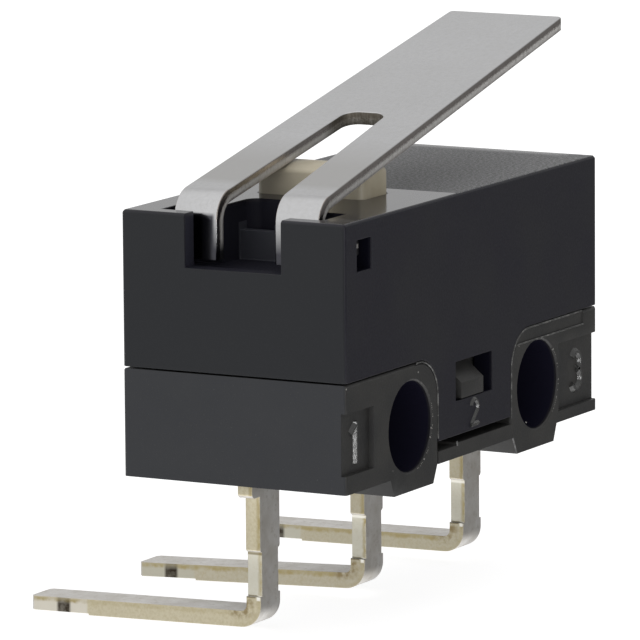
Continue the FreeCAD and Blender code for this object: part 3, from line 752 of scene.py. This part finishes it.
@dataclass(frozen=True)
class CutBrass(Finish):
    """The cut edges of one terminal: pale and mottled, with a thin torn brass stripe."""

    look: LegLook
    bend: Bend
    sheet: float
    waist_top: float
    waist_bottom: float
    stripe: Colour = (0.42, 0.345, 0.17)
    waist: Colour = (0.65, 0.63, 0.54)
    stain: Colour = (0.27, 0.2, 0.09)
    # Painted shade: the line at the waist's lower step.
    low_step_shade: Colour = (0.16, 0.125, 0.06)
    # Painted glint: the bright dot at the waist's lower step.
    dot: Colour = (0.97, 0.95, 0.88)
    mark: Colour = (0.04, 0.03, 0.02)
    leg_start: float = 0.42
    tip_start: float = 4.4
    mark_reach: Span = (4.93, 5.2)
    bend_reach: Span = (0.0, 0.5)
    bend_heights: Span = (-4.3, -3.95)

    def paint(self, tree: ShaderTree) -> None:
        """Mottles the cut and draws its stripe, its waist and its stains, with painted highlight
        and shade lines and a painted glint dot at the waist's steps.
        """
        top, bottom, tip = self.waist_top, self.waist_bottom, self.tip_start
        height = tree.axis("Z")
        reach = tree.axis("Y")
        tipward = tree.math("ADD", reach, self.look.shorter)
        across = tree.bend_depth(self.bend, self.sheet)
        mottle = tree.noise(0.07, 4.0, 0.65)
        patchy = tree.noise(0.32, 3.0, 0.65)
        wavy = tree.math("ADD", across, tree.spread(patchy, -0.08, 0.08))
        on_leg = tree.ramp(reach, self.leg_start, self.leg_start + 0.25)
        upright = tree.both(tree.band(wavy, 0.08, 0.16, 0.16),
                            tree.ramp(height, bottom - 0.3, bottom, 0.3, 0.95))
        along_share = tree.ramp(tipward, tip, tip + 0.3, self.look.stripe_share, 0.95)
        along = tree.both(tree.band(wavy, 0.8, 0.92, 0.16), along_share)
        striped = tree.math("ADD", tree.both(upright, tree.rest(on_leg)), tree.both(along, on_leg))
        torn = tree.both(striped, tree.ramp(patchy, 0.36, 0.6, 0.45, 1.0))
        whitened = tree.both(tree.band(height, bottom, top, 0.02),
                             tree.ramp(mottle, 0.4, 0.7, 1.0, 0.75))
        # Painted light and shade at the waist's steps.
        top_line = tree.band(height, top - 0.06, top - 0.02, 0.02)
        low_line = tree.band(height, bottom - 0.02, bottom + 0.015, 0.02)
        dot_share = tree.both(tree.band(across, 0.08, 0.26, 0.06),
                              tree.band(height, bottom - 0.07, bottom, 0.03))
        in_bend = tree.both(tree.band(reach, *self.bend_reach, 0.2),
                            tree.band(height, *self.bend_heights, 0.12))
        inner = tree.both(in_bend, tree.ramp(across, 0.25, 0.8, 0.15, 1.0))
        blots = tree.ramp(tree.noise(0.15, 2.0), 0.38, 0.62, 0.0, 0.85)
        blotch = tree.ramp(tree.noise(0.2, 3.0, 0.6), 0.35, 0.6, 0.75, 1.0)
        in_mark = tree.both(tree.band(tipward, *self.mark_reach, 0.07),
                            tree.both(blotch, tree.ramp(across, 0.6, 0.9, 1.0, 0.4)))
        streaks = tree.noise(1.0, 3.0, 0.6, tree.stretched((1.0, 9.0, 9.0)))
        tree.set(
            Base_Color=tree.layers(
                self.look.pale,
                (self.stripe, tree.ramp(mottle, 0.42, 0.72, 0.0, 0.42)),
                (self.look.tip, tree.ramp(tipward, tip, tip + 0.06)),
                (self.waist, whitened),
                (self.stripe, torn),
                (self.look.top_step_shading, tree.both(top_line, 0.75)),
                (self.low_step_shade, tree.both(low_line, tree.ramp(across, 0.3, 0.42, 0.0, 0.8))),
                (self.dot, dot_share),
                (self.stain, tree.both(inner, blots)),
                (self.mark, in_mark),
            ),
            Metallic=0.9,
            Roughness=tree.spread(streaks, 0.34, 0.5),
            Normal=tree.bump(streaks, 0.0012, tree.bump(tree.noise(0.05, 2.0), 0.0008)),
        )


@dataclass(frozen=True)
class BareMetal(Finish):
    """The unplated metal of the blade and the contacts, stained in soft clouds."""

    bright: Colour
    dull: Colour
    stain: float
    grain: tuple[float, float, float]
    stretch: Point
    roughness: Span
    depth: float

    def paint(self, tree: ShaderTree) -> None:
        """Stains the metal and draws its grain."""
        stains = tree.ramp(tree.noise(self.stain, 3.0), 0.35, 0.7)
        fine = tree.noise(*self.grain, tree.stretched(self.stretch))
        tree.set(
            Base_Color=tree.blend(self.bright, self.dull, stains),
            Metallic=1.0,
            Roughness=tree.spread(fine, *self.roughness),
            Normal=tree.bump(fine, self.depth),
        )


class Finishes:
    """Every finish of the switch that doesn't depend on one piece's shape, made once."""

    def __init__(self) -> None:
        """Builds the materials."""
        self.mark = MarkBlack("raised_mark_finish", (0.03, 0.03, 0.029), (0.038, 0.038, 0.037),
                              0.15, 0.9, spread=0.16, grain_depth=0.0045).make()
        # Flash fins along the rims, with pale flecks as a painted highlight line.
        self.fin = MarkBlack("flash_fin_highlight_finish", (0.028, 0.028, 0.027), (0.13, 0.13, 0.125),
                             0.3, 0.6).make()
        # Painted highlight: pale ridges along the lit corners of the stand-off and the ledge step.
        self.corner_highlight = MarkBlack("highlit_corner_finish", (0.07, 0.07, 0.07), (0.17, 0.17, 0.17),
                              0.4, 0.6).make()
        # Real flash grains and specks, lightened as painted glints.
        self.grain = MarkBlack("flash_grain_glint_finish", (0.18, 0.175, 0.165), (0.23, 0.22, 0.21),
                               0.3, 0.7).make()
        self.lever = SatinSteel().make()
        self.plunger = CreamPlastic().make()
        self.plating = PlatedFace().make()
        self.blade = BareMetal("blade_alloy_finish", (0.78, 0.5, 0.29), (0.62, 0.38, 0.2), 1.2,
                               (1.0, 3.0, 0.6), (1.0, 20.0, 4.0), (0.24, 0.36), 0.002).make()
        self.contact = BareMetal("contact_silver_finish", (0.88, 0.87, 0.85), (0.7, 0.69, 0.66),
                                 0.3, (0.04, 2.0, 0.5), (1.0, 1.0, 1.0), (0.22, 0.34),
                                 0.0015).make()


class Digit(Enum):
    """The plain numbers, as the middle lines of their strokes, 1 high and round their centre."""

    ONE = 1
    TWO = 2
    THREE = 3

    def strokes(self) -> list[Line]:
        """The lines of the number.

        Returns:
            One list of points for each stroke.
        """
        if self is Digit.ONE:
            return [[(-0.2, 0.22), (0.03, 0.42)], [(0.06, 0.5), (0.06, -0.5)]]
        if self is Digit.TWO:
            bowl = arc((0.0, 0.19), 0.25, 165.0, -40.0)
            return [bowl + [(-0.22, -0.4)], [(-0.31, -0.435), (0.3, -0.435)]]
        return [arc((0.0, 0.215), 0.22, 150.0, -80.0), arc((0.0, -0.19), 0.245, 80.0, -150.0)]


def arc(centre: Spot, radius: float, start: float, end: float, steps: int = 16) -> Line:
    """Points along a part of a circle.

    Args:
        centre: The circle's middle.
        radius: Its radius.
        start: The angle of the first point, in degrees.
        end: The angle of the last point, in degrees.
        steps: How many pieces the line has.

    Returns:
        The points in order.
    """
    angles = [math.radians(start + (end - start) * step / steps) for step in range(steps + 1)]
    return [(centre[0] + radius * math.cos(angle), centre[1] + radius * math.sin(angle))
            for angle in angles]


class GrowthTree(NodeTree):
    """One Geometry Nodes tree over lines drawn flat, stood up on the side that faces -Y."""

    merge_gap = 0.0001

    def __init__(self, name: str) -> None:
        """Starts a tree with its geometry, side and material inputs.

        Args:
            name: The tree's name.
        """
        self.group = bpy.data.node_groups.new(name, "GeometryNodeTree")
        super().__init__(self.group)
        self.keys: dict[str, str] = {}
        self.declare("Geometry", "Geometry", "OUTPUT")
        for title, kind in (("Lines", "Geometry"), ("Side", "Float"), ("Finish", "Material")):
            self.declare(title, kind)
        self.inputs = self.nodes.new("NodeGroupInput")

    def declare(self, title: str, kind: str = "Float", way: str = "INPUT") -> None:
        """Gives the tree a named socket.

        Args:
            title: The socket's name.
            kind: Its type without the prefix.
            way: INPUT or OUTPUT.
        """
        item = self.group.interface.new_socket(name=title, in_out=way,
                                               socket_type="NodeSocket" + kind)
        self.keys[title] = item.identifier

    def close(self, shape: Socket) -> None:
        """Stands the shape up on its side and ends the tree.

        Args:
            shape: The shape drawn flat, rising along +Z.
        """
        inputs = self.inputs.outputs
        place = self.add("ShaderNodeCombineXYZ", {"Y": inputs["Side"]})
        stood = self.add("GeometryNodeTransform", {
            "Geometry": shape, "Translation": place, "Rotation": (math.pi / 2, 0.0, 0.0)})
        real = self.add("GeometryNodeRealizeInstances", {"Geometry": stood})
        dressed = self.add("GeometryNodeSetMaterial", {
            "Geometry": real, "Material": inputs["Finish"]})
        self.feed(self.nodes.new("NodeGroupOutput").inputs[0], dressed)

    def grow(self, lines: list[Line], **values: object) -> Shape:
        """Runs the tree over a set of lines.

        Args:
            lines: The lines, as points in X and Z.
            values: The value of each input, by its name.

        Returns:
            The grown shape in millimetres.
        """
        seed = bpy.data.meshes.new("lines")
        points = [(across, height, 0.0) for line in lines for across, height in line]
        edges = []
        first = 0
        for line in lines:
            edges += [(first + step, first + step + 1) for step in range(len(line) - 1)]
            first += len(line)
        seed.from_pydata(points, edges, [])
        holder = bpy.data.objects.new("lines", seed)
        bpy.context.scene.collection.objects.link(holder)
        growth = holder.modifiers.new("growth", "NODES")
        growth.node_group = self.group
        for title, value in values.items():
            growth[self.keys[title]] = value
        grown = Workshop.applied(holder)
        holder.modifiers.clear()
        bpy.data.objects.remove(holder)
        shape = bmesh.new()
        shape.from_mesh(grown)
        bpy.data.meshes.remove(grown)
        bpy.data.meshes.remove(seed)
        bmesh.ops.remove_doubles(shape, verts=shape.verts, dist=self.merge_gap)
        bmesh.ops.recalc_face_normals(shape, faces=shape.faces)
        for face in shape.faces:
            face.material_index = 0
        return shape


def ridge_tree() -> GrowthTree:
    """A tree that raises a ridge with sloping flanks along each line.

    Returns:
        The tree, with the inputs Foot, Crest and Rise.
    """
    tree = GrowthTree("raised_ridge")
    for title in ("Foot", "Crest", "Rise"):
        tree.declare(title)
    inputs = tree.inputs.outputs
    path = tree.add("GeometryNodeMeshToCurve", {"Mesh": inputs["Lines"]})
    level = tree.add("GeometryNodeSetCurveNormal", {"Curve": path}, mode="Z_UP")
    section = tree.add("GeometryNodeCurvePrimitiveQuadrilateral", {
        "Bottom Width": inputs["Crest"], "Top Width": inputs["Foot"], "Height": inputs["Rise"],
        "Offset": 0.0}, mode="TRAPEZOID")
    lift = tree.add("ShaderNodeCombineXYZ", {"Y": tree.math("MULTIPLY", inputs["Rise"], -0.5)})
    raised = tree.add("GeometryNodeTransform", {"Geometry": section, "Translation": lift})
    tree.close(tree.add("GeometryNodeCurveToMesh", {
        "Curve": level, "Profile Curve": raised, "Fill Caps": True}))
    return tree


def grain_tree() -> GrowthTree:
    """A tree that strews small flat grains along each line.

    Returns:
        The tree, with the inputs Spacing, Scatter, Grain, Share and Seed.
    """
    tree = GrowthTree("strewn_grains")
    for title in ("Spacing", "Scatter", "Grain", "Share"):
        tree.declare(title)
    tree.declare("Seed", "Int")
    inputs = tree.inputs.outputs
    seed, scatter = inputs["Seed"], inputs["Scatter"]
    path = tree.add("GeometryNodeMeshToCurve", {"Mesh": inputs["Lines"]})
    points = tree.add("GeometryNodeCurveToPoints", {"Curve": path, "Length": inputs["Spacing"]},
                      mode="LENGTH")
    ahead = tree.add("ShaderNodeCombineXYZ", {"X": scatter, "Y": scatter})
    back = tree.add("ShaderNodeVectorMath", {0: ahead, 1: (-1.0, -1.0, 0.0)},
                    operation="MULTIPLY")
    shift = tree.add("FunctionNodeRandomValue", {"Min": back, "Max": ahead, "Seed": seed},
                     data_type="FLOAT_VECTOR")
    strewn = tree.add("GeometryNodeSetPosition", {"Geometry": points, "Offset": shift})
    pebble = tree.add("GeometryNodeMeshIcoSphere", {"Radius": 1.0, "Subdivisions": 1})
    flat = tree.add("GeometryNodeTransform", {
        "Geometry": pebble, "Scale": (1.0, 1.0, GRAIN_FLATNESS)})
    smallest = tree.math("MULTIPLY", inputs["Grain"], SMALLEST_GRAIN)
    size = tree.add("FunctionNodeRandomValue", {2: smallest, 3: inputs["Grain"], "Seed": seed},
                    output=1, data_type="FLOAT")
    kept = tree.add("FunctionNodeRandomValue", {"Probability": inputs["Share"], "Seed": seed},
                    output=3, data_type="BOOLEAN")
    tree.close(tree.add("GeometryNodeInstanceOnPoints", {
        "Points": strewn, "Selection": kept, "Instance": flat, "Scale": size}))
    return tree


class Workshop:
    """Turns millimetre meshes into finished pieces in the row frame."""

    merge_gap = 0.0004
    edge_faces = 2
    flat_angle = math.radians(0.4)
    smooth_angle = math.radians(34)
    bevel_angle = math.radians(24)

    @classmethod
    def solid_copy(cls, source: Piece) -> Shape:
        """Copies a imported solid, with its loose facets joined into whole faces.

        Args:
            source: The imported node.

        Returns:
            The shape in millimetres.
        """
        shape = bmesh.new()
        shape.from_mesh(source.data)
        bmesh.ops.scale(shape, vec=Vector((1, 1, 1)) / MM, verts=shape.verts)
        bmesh.ops.remove_doubles(shape, verts=shape.verts, dist=cls.merge_gap)
        bmesh.ops.dissolve_limit(shape, angle_limit=cls.flat_angle, verts=shape.verts,
                                 edges=shape.edges)
        return shape

    @classmethod
    def finish(cls, name: str, shape: Shape, materials: list[Material],
               bevel: float = 0.0) -> Piece:
        """Eases the edges of a shape and places it in the row frame.

        Args:
            name: The piece's name.
            shape: The shape in millimetres.
            materials: The piece's materials, by face index.
            bevel: The width of the eased edges, or 0 for none.

        Returns:
            The piece.
        """
        mesh = bpy.data.meshes.new(name)
        shape.to_mesh(mesh)
        shape.free()
        piece = bpy.data.objects.new(name, mesh)
        bpy.context.scene.collection.objects.link(piece)
        for material in materials:
            mesh.materials.append(material)
        if bevel > 0:
            ease = piece.modifiers.new("ease", "BEVEL")
            ease.width = bevel
            ease.segments = cls.edge_faces
            ease.limit_method = "ANGLE"
            ease.angle_limit = cls.bevel_angle
            ease.use_clamp_overlap = True
            ease.harden_normals = False
            cls.work_in(piece)
        piece.data.transform(Matrix.Scale(MM, 4))
        piece.data.polygons.foreach_set("use_smooth", [True] * len(piece.data.polygons))
        piece.data.set_sharp_from_angle(angle=cls.smooth_angle)
        if bevel > 0:
            even = piece.modifiers.new("even", "WEIGHTED_NORMAL")
            even.keep_sharp = True
            cls.work_in(piece)
        piece.data.update()
        return piece

    @classmethod
    def work_in(cls, piece: Piece) -> None:
        """Makes a piece's modifiers part of its mesh.

        Args:
            piece: The piece.
        """
        rough = piece.data
        plain = cls.applied(piece)
        piece.modifiers.clear()
        piece.data = plain
        bpy.data.meshes.remove(rough)
        plain.name = piece.name

    @staticmethod
    def applied(piece: Piece) -> bpy.types.Mesh:
        """The mesh of a piece with its modifiers worked in.

        Args:
            piece: The piece.

        Returns:
            A new mesh.
        """
        bpy.context.view_layer.update()
        graph = bpy.context.evaluated_depsgraph_get()
        return bpy.data.meshes.new_from_object(piece.evaluated_get(graph))

    @staticmethod
    def mount(piece: Piece, body: Body, slot: Slot, *nodes: str) -> None:
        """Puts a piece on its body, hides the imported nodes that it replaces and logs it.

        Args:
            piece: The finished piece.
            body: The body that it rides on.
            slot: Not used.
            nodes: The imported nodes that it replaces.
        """
        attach(piece, body.value)
        if nodes:
            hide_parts(*nodes)
        log.info("piece %s: %d faces on %s", piece.name, len(piece.data.polygons), body.value)


@dataclass(frozen=True)
class NumberPlace:
    """Where a raised number stands on the visible side.

    Attributes:
        digit: The number.
        middle: The middle of the number, in X and Z.
        height: The number's height.
        side: The Y of the face that it stands on.
        rise: How far it stands out.
        slot: The material slot of the piece under it.
    """

    digit: Digit
    middle: Spot
    height: float
    side: float
    rise: float
    slot: Slot


@dataclass
class Housing:
    """The two moulded halves of the housing, with the numbers and the flash on them."""

    finishes: Finishes
    nodes: dict[str, Piece]
    half_length: float = 6.4
    half_width: float = 2.9
    top: float = 5.1
    hole_place: float = 3.25
    hole_radius: float = 1.06
    hole_rim: float = 1.09
    arch_edge: float = 1.88
    arch_top: float = 1.42
    arch_radius: float = 0.9
    band_bottom: float = 1.09
    panel_depth: float = 0.13
    base_edge: float = 0.02
    cover_edge: float = 0.02
    stroke_foot: float = 0.22
    stroke_crest: float = 0.06
    fin_rise: float = 0.01
    sink: float = 0.01

    def build(self) -> None:
        """Makes both halves and what stands on them."""
        base = MouldedBlack("base_plastic_finish", (0.021, 0.021, 0.021), (0.032, 0.031, 0.029),
                            self.half_length, self.half_width, self.hole_place,
                            self.hole_radius).make()
        cover = CoverBlack("cover_plastic_finish", self.half_length, self.half_width,
                           self.top).make()
        for node, finish, edge, slot in (("base", base, self.base_edge, Slot.BASE),
                                         ("cover", cover, self.cover_edge, Slot.COVER)):
            shape = Workshop.solid_copy(self.nodes[node])
            half = Workshop.finish(node + "_moulding", shape, [finish], edge)
            Workshop.mount(half, Body.HOUSING, slot, node)
        self.make_numbers()
        self.make_flash()

    def make_numbers(self) -> None:
        """Raises the plain numbers at the three terminals."""
        panel = self.panel_depth - self.half_width
        mark = self.finishes.mark
        tree = ridge_tree()
        for place in (
            NumberPlace(Digit.ONE, (-5.8, 0.03), 0.96, panel, 0.067, Slot.BASE),
            NumberPlace(Digit.TWO, (-0.06, -0.15), 0.66, -self.half_width, 0.043, Slot.COVER),
            NumberPlace(Digit.THREE, (5.48, -0.01), 1.03, panel, 0.072, Slot.BASE),
        ):
            lines = [[(place.middle[0] + across * place.height, place.middle[1] + up * place.height)
                      for across, up in stroke] for stroke in place.digit.strokes()]
            shape = tree.grow(lines, Side=place.side + self.sink, Finish=mark,
                              Rise=place.rise + self.sink, Foot=self.stroke_foot * place.height,
                              Crest=self.stroke_crest * place.height)
            number = Workshop.finish(f"moulded_number_{place.digit.value}", shape, [mark])
            Workshop.mount(number, Body.HOUSING, place.slot)

    def arch_line(self, side: int, low: float, end: float) -> Line:
        """The edge of an arch of the base: up, round the corner and along the seam.

        Args:
            side: -1 for the near arch, 1 for the far one.
            low: Where the line starts.
            end: Where the line ends, as its distance from the middle.

        Returns:
            The points in X and Z.
        """
        corner = (side * (self.arch_edge + self.arch_radius), self.arch_top - self.arch_radius)
        bow = arc(corner, self.arch_radius, 180.0 if side > 0 else 0.0, 90.0)
        return [(side * self.arch_edge, low)] + bow + [(side * end, self.arch_top)]

    def make_flash(self) -> None:
        """Leaves thin flash and small grains along the moulded rims of the visible side; the fins'
        flecks, the grains and the corner ridges are pale as painted highlights.
        """
        rims = [
            self.arch_line(1, -0.62, 5.6),
            self.arch_line(-1, -0.5, 2.95),
            [(2.2, self.band_bottom), (3.9, self.band_bottom), (5.68, self.band_bottom)],
            arc((-self.hole_place, 0.0), self.hole_rim, -75.0, 62.0),
            arc((self.hole_place, 0.0), self.hole_rim, -62.0, 40.0),
        ]
        # Painted highlights along the stand-off corner and the ledge step.
        corners = [[(1.94, -1.1), (2.14, -1.48)], [(-0.92, -0.71), (-0.92, -0.82)]]
        # Single specks, lightened as painted glints.
        spots = [(-2.88, 1.22), (-2.25, -0.19), (-2.3, -0.39), (-2.6, -0.86), (-4.14, -0.89),
                 (2.27, 1.06), (4.06, 0.72), (2.62, -0.82), (4.22, -0.49), (-6.38, 1.34)]
        dots = [[spot, (spot[0] + 0.01, spot[1])] for spot in spots]
        ridges = ridge_tree()
        grains = grain_tree()
        raised = {"Side": self.sink - self.half_width, "Rise": self.sink + self.fin_rise}
        laid = {"Side": -self.half_width}
        for name, tree, lines, finish, sizes in (
            ("rim_flash_fins_highlit", ridges, rims[:3], self.finishes.fin,
             raised | {"Foot": 0.045, "Crest": 0.015}),
            ("rim_flash_grains_glinting", grains, rims, self.finishes.grain,
             laid | {"Spacing": 0.05, "Scatter": 0.01, "Grain": 0.02, "Share": 0.5, "Seed": 7}),
            ("highlit_corner_fins", ridges, corners, self.finishes.corner_highlight,
             raised | {"Foot": 0.06, "Crest": 0.02}),
            ("moulding_specks_glinting", grains, dots, self.finishes.grain,
             laid | {"Spacing": 0.01, "Scatter": 0.012, "Grain": 0.03, "Share": 1.0, "Seed": 3}),
        ):
            flash = tree.grow(lines, Finish=finish, **sizes)
            Workshop.mount(Workshop.finish(name, flash, [finish]), Body.HOUSING, Slot.BASE)


@dataclass
class Actuator:
    """The hinge lever and the plunger under it."""

    finishes: Finishes
    nodes: dict[str, Piece]
    sheet: float = 0.3
    tilt: float = 12.28
    bend_middle: Point = (-5.06, 0.0, 4.86)
    bend_radius: float = 0.7
    flat_share: float = 0.5
    lever_edge: float = 0.02
    plunger_edge: float = 0.03

    def build(self) -> None:
        """Makes the lever and the plunger."""
        rise = math.radians(self.tilt)
        plate_up = Vector((-math.sin(rise), 0.0, math.cos(rise)))
        bend = Bend(Vector(self.bend_middle), self.bend_radius,
                    (plate_up, Vector((-1.0, 0.0, 0.0))))
        edge_finish = ShearedSteel("lever_cut_edge_finish", bend, self.sheet).make()
        shape = Workshop.solid_copy(self.nodes["hinge_lever"])
        for face in shape.faces:
            face.material_index = 1 if self.is_cut(face, bend) else 0
        lever = Workshop.finish("hinge_lever_sheet", shape, [self.finishes.lever, edge_finish],
                                self.lever_edge)
        Workshop.mount(lever, Body.LEVER, Slot.LEVER, "hinge_lever")
        plunger = Workshop.finish("plunger_moulding", Workshop.solid_copy(self.nodes["plunger"]),
                                  [self.finishes.plunger], self.plunger_edge)
        Workshop.mount(plunger, Body.PLUNGER, Slot.PLUNGER, "plunger")

    def is_cut(self, face: bmesh.types.BMFace, bend: Bend) -> bool:
        """Whether a face of the lever is an edge of the sheet.

        Args:
            face: The face.
            bend: The lever's bend.

        Returns:
            True for the sheared edges, False for the rolled sides.
        """
        middle = face.calc_center_median() - bend.centre
        if middle.x > 0:
            return abs(face.normal.dot(bend.sides[0])) < self.flat_share
        if middle.z < 0:
            return abs(face.normal.x) < self.flat_share
        return abs(face.normal.y) > self.flat_share


@dataclass
class Terminals:
    """The three terminals: plated faces, cut edges and their working ends."""

    finishes: Finishes
    nodes: dict[str, Piece]
    sheet: float = 0.38
    bend_middle: Point = (0.0, 0.34, -4.04)
    bend_radius: float = 0.53
    waist_top: float = -2.795
    waist_bottom: float = -3.835
    tip_from: float = 4.0
    edge: float = 0.02
    cut_share: float = 0.9
    legs: tuple[LegLook, ...] = (
        LegLook("common_terminal", 1.35, (0.63, 0.575, 0.425), (0.72, 0.68, 0.585), 0.35,
                (0.2, 0.16, 0.08)),
        LegLook("normally_open_terminal", 2.4, (0.545, 0.505, 0.395), (0.54, 0.515, 0.42), 1.0,
                (0.95, 0.93, 0.86)),
        LegLook("normally_closed_terminal", 1.0, (0.545, 0.505, 0.39), (0.56, 0.54, 0.45), 0.9,
                (0.95, 0.93, 0.86), shorter=0.13),
    )

    def build(self) -> None:
        """Makes the three terminals."""
        for look in self.legs:
            fall = math.radians(look.droop)
            leg_down = Vector((0.0, -math.sin(fall), -math.cos(fall)))
            bend = Bend(Vector(self.bend_middle), self.bend_radius,
                        (leg_down, Vector((0.0, -1.0, 0.0))))
            cut = CutBrass(look.name + "_cut_edge_finish", look, bend, self.sheet,
                           self.waist_top, self.waist_bottom).make()
            shape = Workshop.solid_copy(self.nodes[look.name])
            for corner in shape.verts:
                if corner.co.y > self.tip_from:
                    corner.co.y -= look.shorter
            for face in shape.faces:
                face.material_index = 1 if abs(face.normal.x) > self.cut_share else 0
            piece = Workshop.finish(look.name + "_strip", shape, [self.finishes.plating, cut],
                                    self.edge)
            Workshop.mount(piece, Body.HOUSING, Slot.TERMINAL, look.name)


@dataclass
class Mechanism:
    """The moving blade and the contacts inside the housing."""

    finishes: Finishes
    nodes: dict[str, Piece]
    blade_edge: float = 0.015
    contact_edge: float = 0.02

    def build(self) -> None:
        """Makes the blade and the three contacts."""
        strip = Workshop.solid_copy(self.nodes["moving_blade"])
        blade = Workshop.finish("moving_blade_strip", strip, [self.finishes.blade],
                                self.blade_edge)
        Workshop.mount(blade, Body.BLADE, Slot.BLADE, "moving_blade")
        for node, body in (("moving_contact", Body.BLADE), ("normally_open_contact", Body.HOUSING),
                           ("normally_closed_contact", Body.HOUSING)):
            piece = Workshop.finish(node + "_rivet", Workshop.solid_copy(self.nodes[node]),
                                    [self.finishes.contact], self.contact_edge)
            Workshop.mount(piece, body, Slot.CONTACT, node)


@dataclass
class Studio:
    """Camera, pale floor and soft light."""

    camera_at: Point = (-147.16, -78.52, 28.68)
    azimuth: float = -61.55
    elevation: float = 9.15
    roll: float = -0.416
    focal_pixels: float = 7180.0
    image_pixels: float = 640.0
    sensor: float = 36.0
    clip: Span = (0.01, 10.0)
    floor_height: float = -4.78
    floor_radius: float = 900.0
    floor_corners: int = 96
    floor_tone: Colour = (0.4, 0.4, 0.4)
    floor_glow: float = 0.84
    strip_at: Point = (-164.0, -304.0, -30.0)
    strip_size: Span = (40.0, 260.0)
    strip_power: float = 0.36
    light_side: Point = (-0.3, 0.75, 0.6)
    light_fade: Span = (-0.6, 0.25)
    light_levels: Span = (0.2, 0.72)
    box_side: Point = (-0.5, 0.2, 0.8)
    box_fade: Span = (0.3, 0.8)
    box_levels: Span = (0.0, 0.26)
    under_side: Point = (0.0, 0.0, -1.0)
    under_fade: Span = (0.4, 0.6)
    under_levels: Span = (0.0, 0.95)
    white: Colour = (1.0, 1.0, 1.0)

    def build(self) -> None:
        """Makes the camera, the floor, the light and the world."""
        self.make_camera()
        self.make_floor()
        self.make_light()
        self.make_world()
        bpy.context.scene.view_settings.view_transform = "Standard"

    def make_camera(self) -> None:
        """Places the camera at the photograph's viewing angle."""
        turn = math.radians(self.azimuth)
        rise = math.radians(self.elevation)
        tilt = math.radians(self.roll)
        back = Vector((math.sin(turn) * math.cos(rise), -math.cos(turn) * math.cos(rise),
                       math.sin(rise)))
        right = Vector((math.cos(turn), math.sin(turn), 0.0))
        up = back.cross(right)
        across = right * math.cos(tilt) + up * math.sin(tilt)
        upright = up * math.cos(tilt) - right * math.sin(tilt)
        data = bpy.data.cameras.new("camera")
        data.sensor_width = self.sensor
        data.lens = self.focal_pixels / self.image_pixels * self.sensor
        data.clip_start, data.clip_end = self.clip
        camera = bpy.data.objects.new("camera", data)
        bpy.context.scene.collection.objects.link(camera)
        pose = Matrix((across, upright, back)).transposed().to_4x4()
        pose.translation = Vector(self.camera_at) * MM
        camera.matrix_world = pose
        bpy.context.scene.camera = camera

    def make_floor(self) -> None:
        """Lays a pale round table under the terminals."""
        shape = bmesh.new()
        bmesh.ops.create_circle(shape, cap_ends=True, segments=self.floor_corners,
                                radius=self.floor_radius)
        bmesh.ops.translate(shape, vec=Vector((0, 0, self.floor_height)), verts=shape.verts)
        tree = ShaderTree("pale_table")
        tree.set(
            Base_Color=self.floor_tone,
            Roughness=0.8,
            Specular_IOR_Level=0.0,
            Emission_Color=self.white,
            Emission_Strength=self.floor_glow,
        )
        floor = Workshop.finish("table", shape, [tree.material])
        floor.visible_glossy = False

    def make_light(self) -> None:
        """Hangs a tall soft strip at the front on the left."""
        data = bpy.data.lights.new("key_strip", "AREA")
        data.shape = "RECTANGLE"
        data.size, data.size_y = (side * MM for side in self.strip_size)
        data.energy = self.strip_power
        lamp = bpy.data.objects.new("key_strip", data)
        bpy.context.scene.collection.objects.link(lamp)
        at = Vector(self.strip_at)
        lamp.location = at * MM
        lamp.rotation_euler = at.to_track_quat("Z", "Y").to_euler()

    def make_world(self) -> None:
        """Paints a plain studio: pale behind, palest above on the left, darker on the right."""
        world = bpy.data.worlds.new("studio")
        bpy.context.scene.world = world
        world.use_nodes = True
        tree = NodeTree(world.node_tree)
        where = tree.add("ShaderNodeTexCoord", output="Generated")
        total = 0.0
        for side, fade, levels in (
            (self.light_side, self.light_fade, self.light_levels),
            (self.box_side, self.box_fade, self.box_levels),
            (self.under_side, self.under_fade, self.under_levels),
        ):
            toward = tree.add("ShaderNodeVectorMath", {0: where, 1: Vector(side).normalized()},
                              "Value", operation="DOT_PRODUCT")
            total = tree.math("ADD", total, tree.ramp(toward, *fade, *levels, "SMOOTHSTEP"))
        background = tree.nodes["Background"].inputs
        tree.feed(background["Color"], self.white)
        tree.feed(background["Strength"], total)


def main() -> None:
    """Builds the switch and its studio."""
    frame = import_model()
    finishes = Finishes()
    nodes = frame["nodes"]
    for part in (Housing(finishes, nodes), Actuator(finishes, nodes),
                 Terminals(finishes, nodes), Mechanism(finishes, nodes), Studio()):
        part.build()
    bpy.context.view_layer.update()


if __name__ == "__main__":
    main()
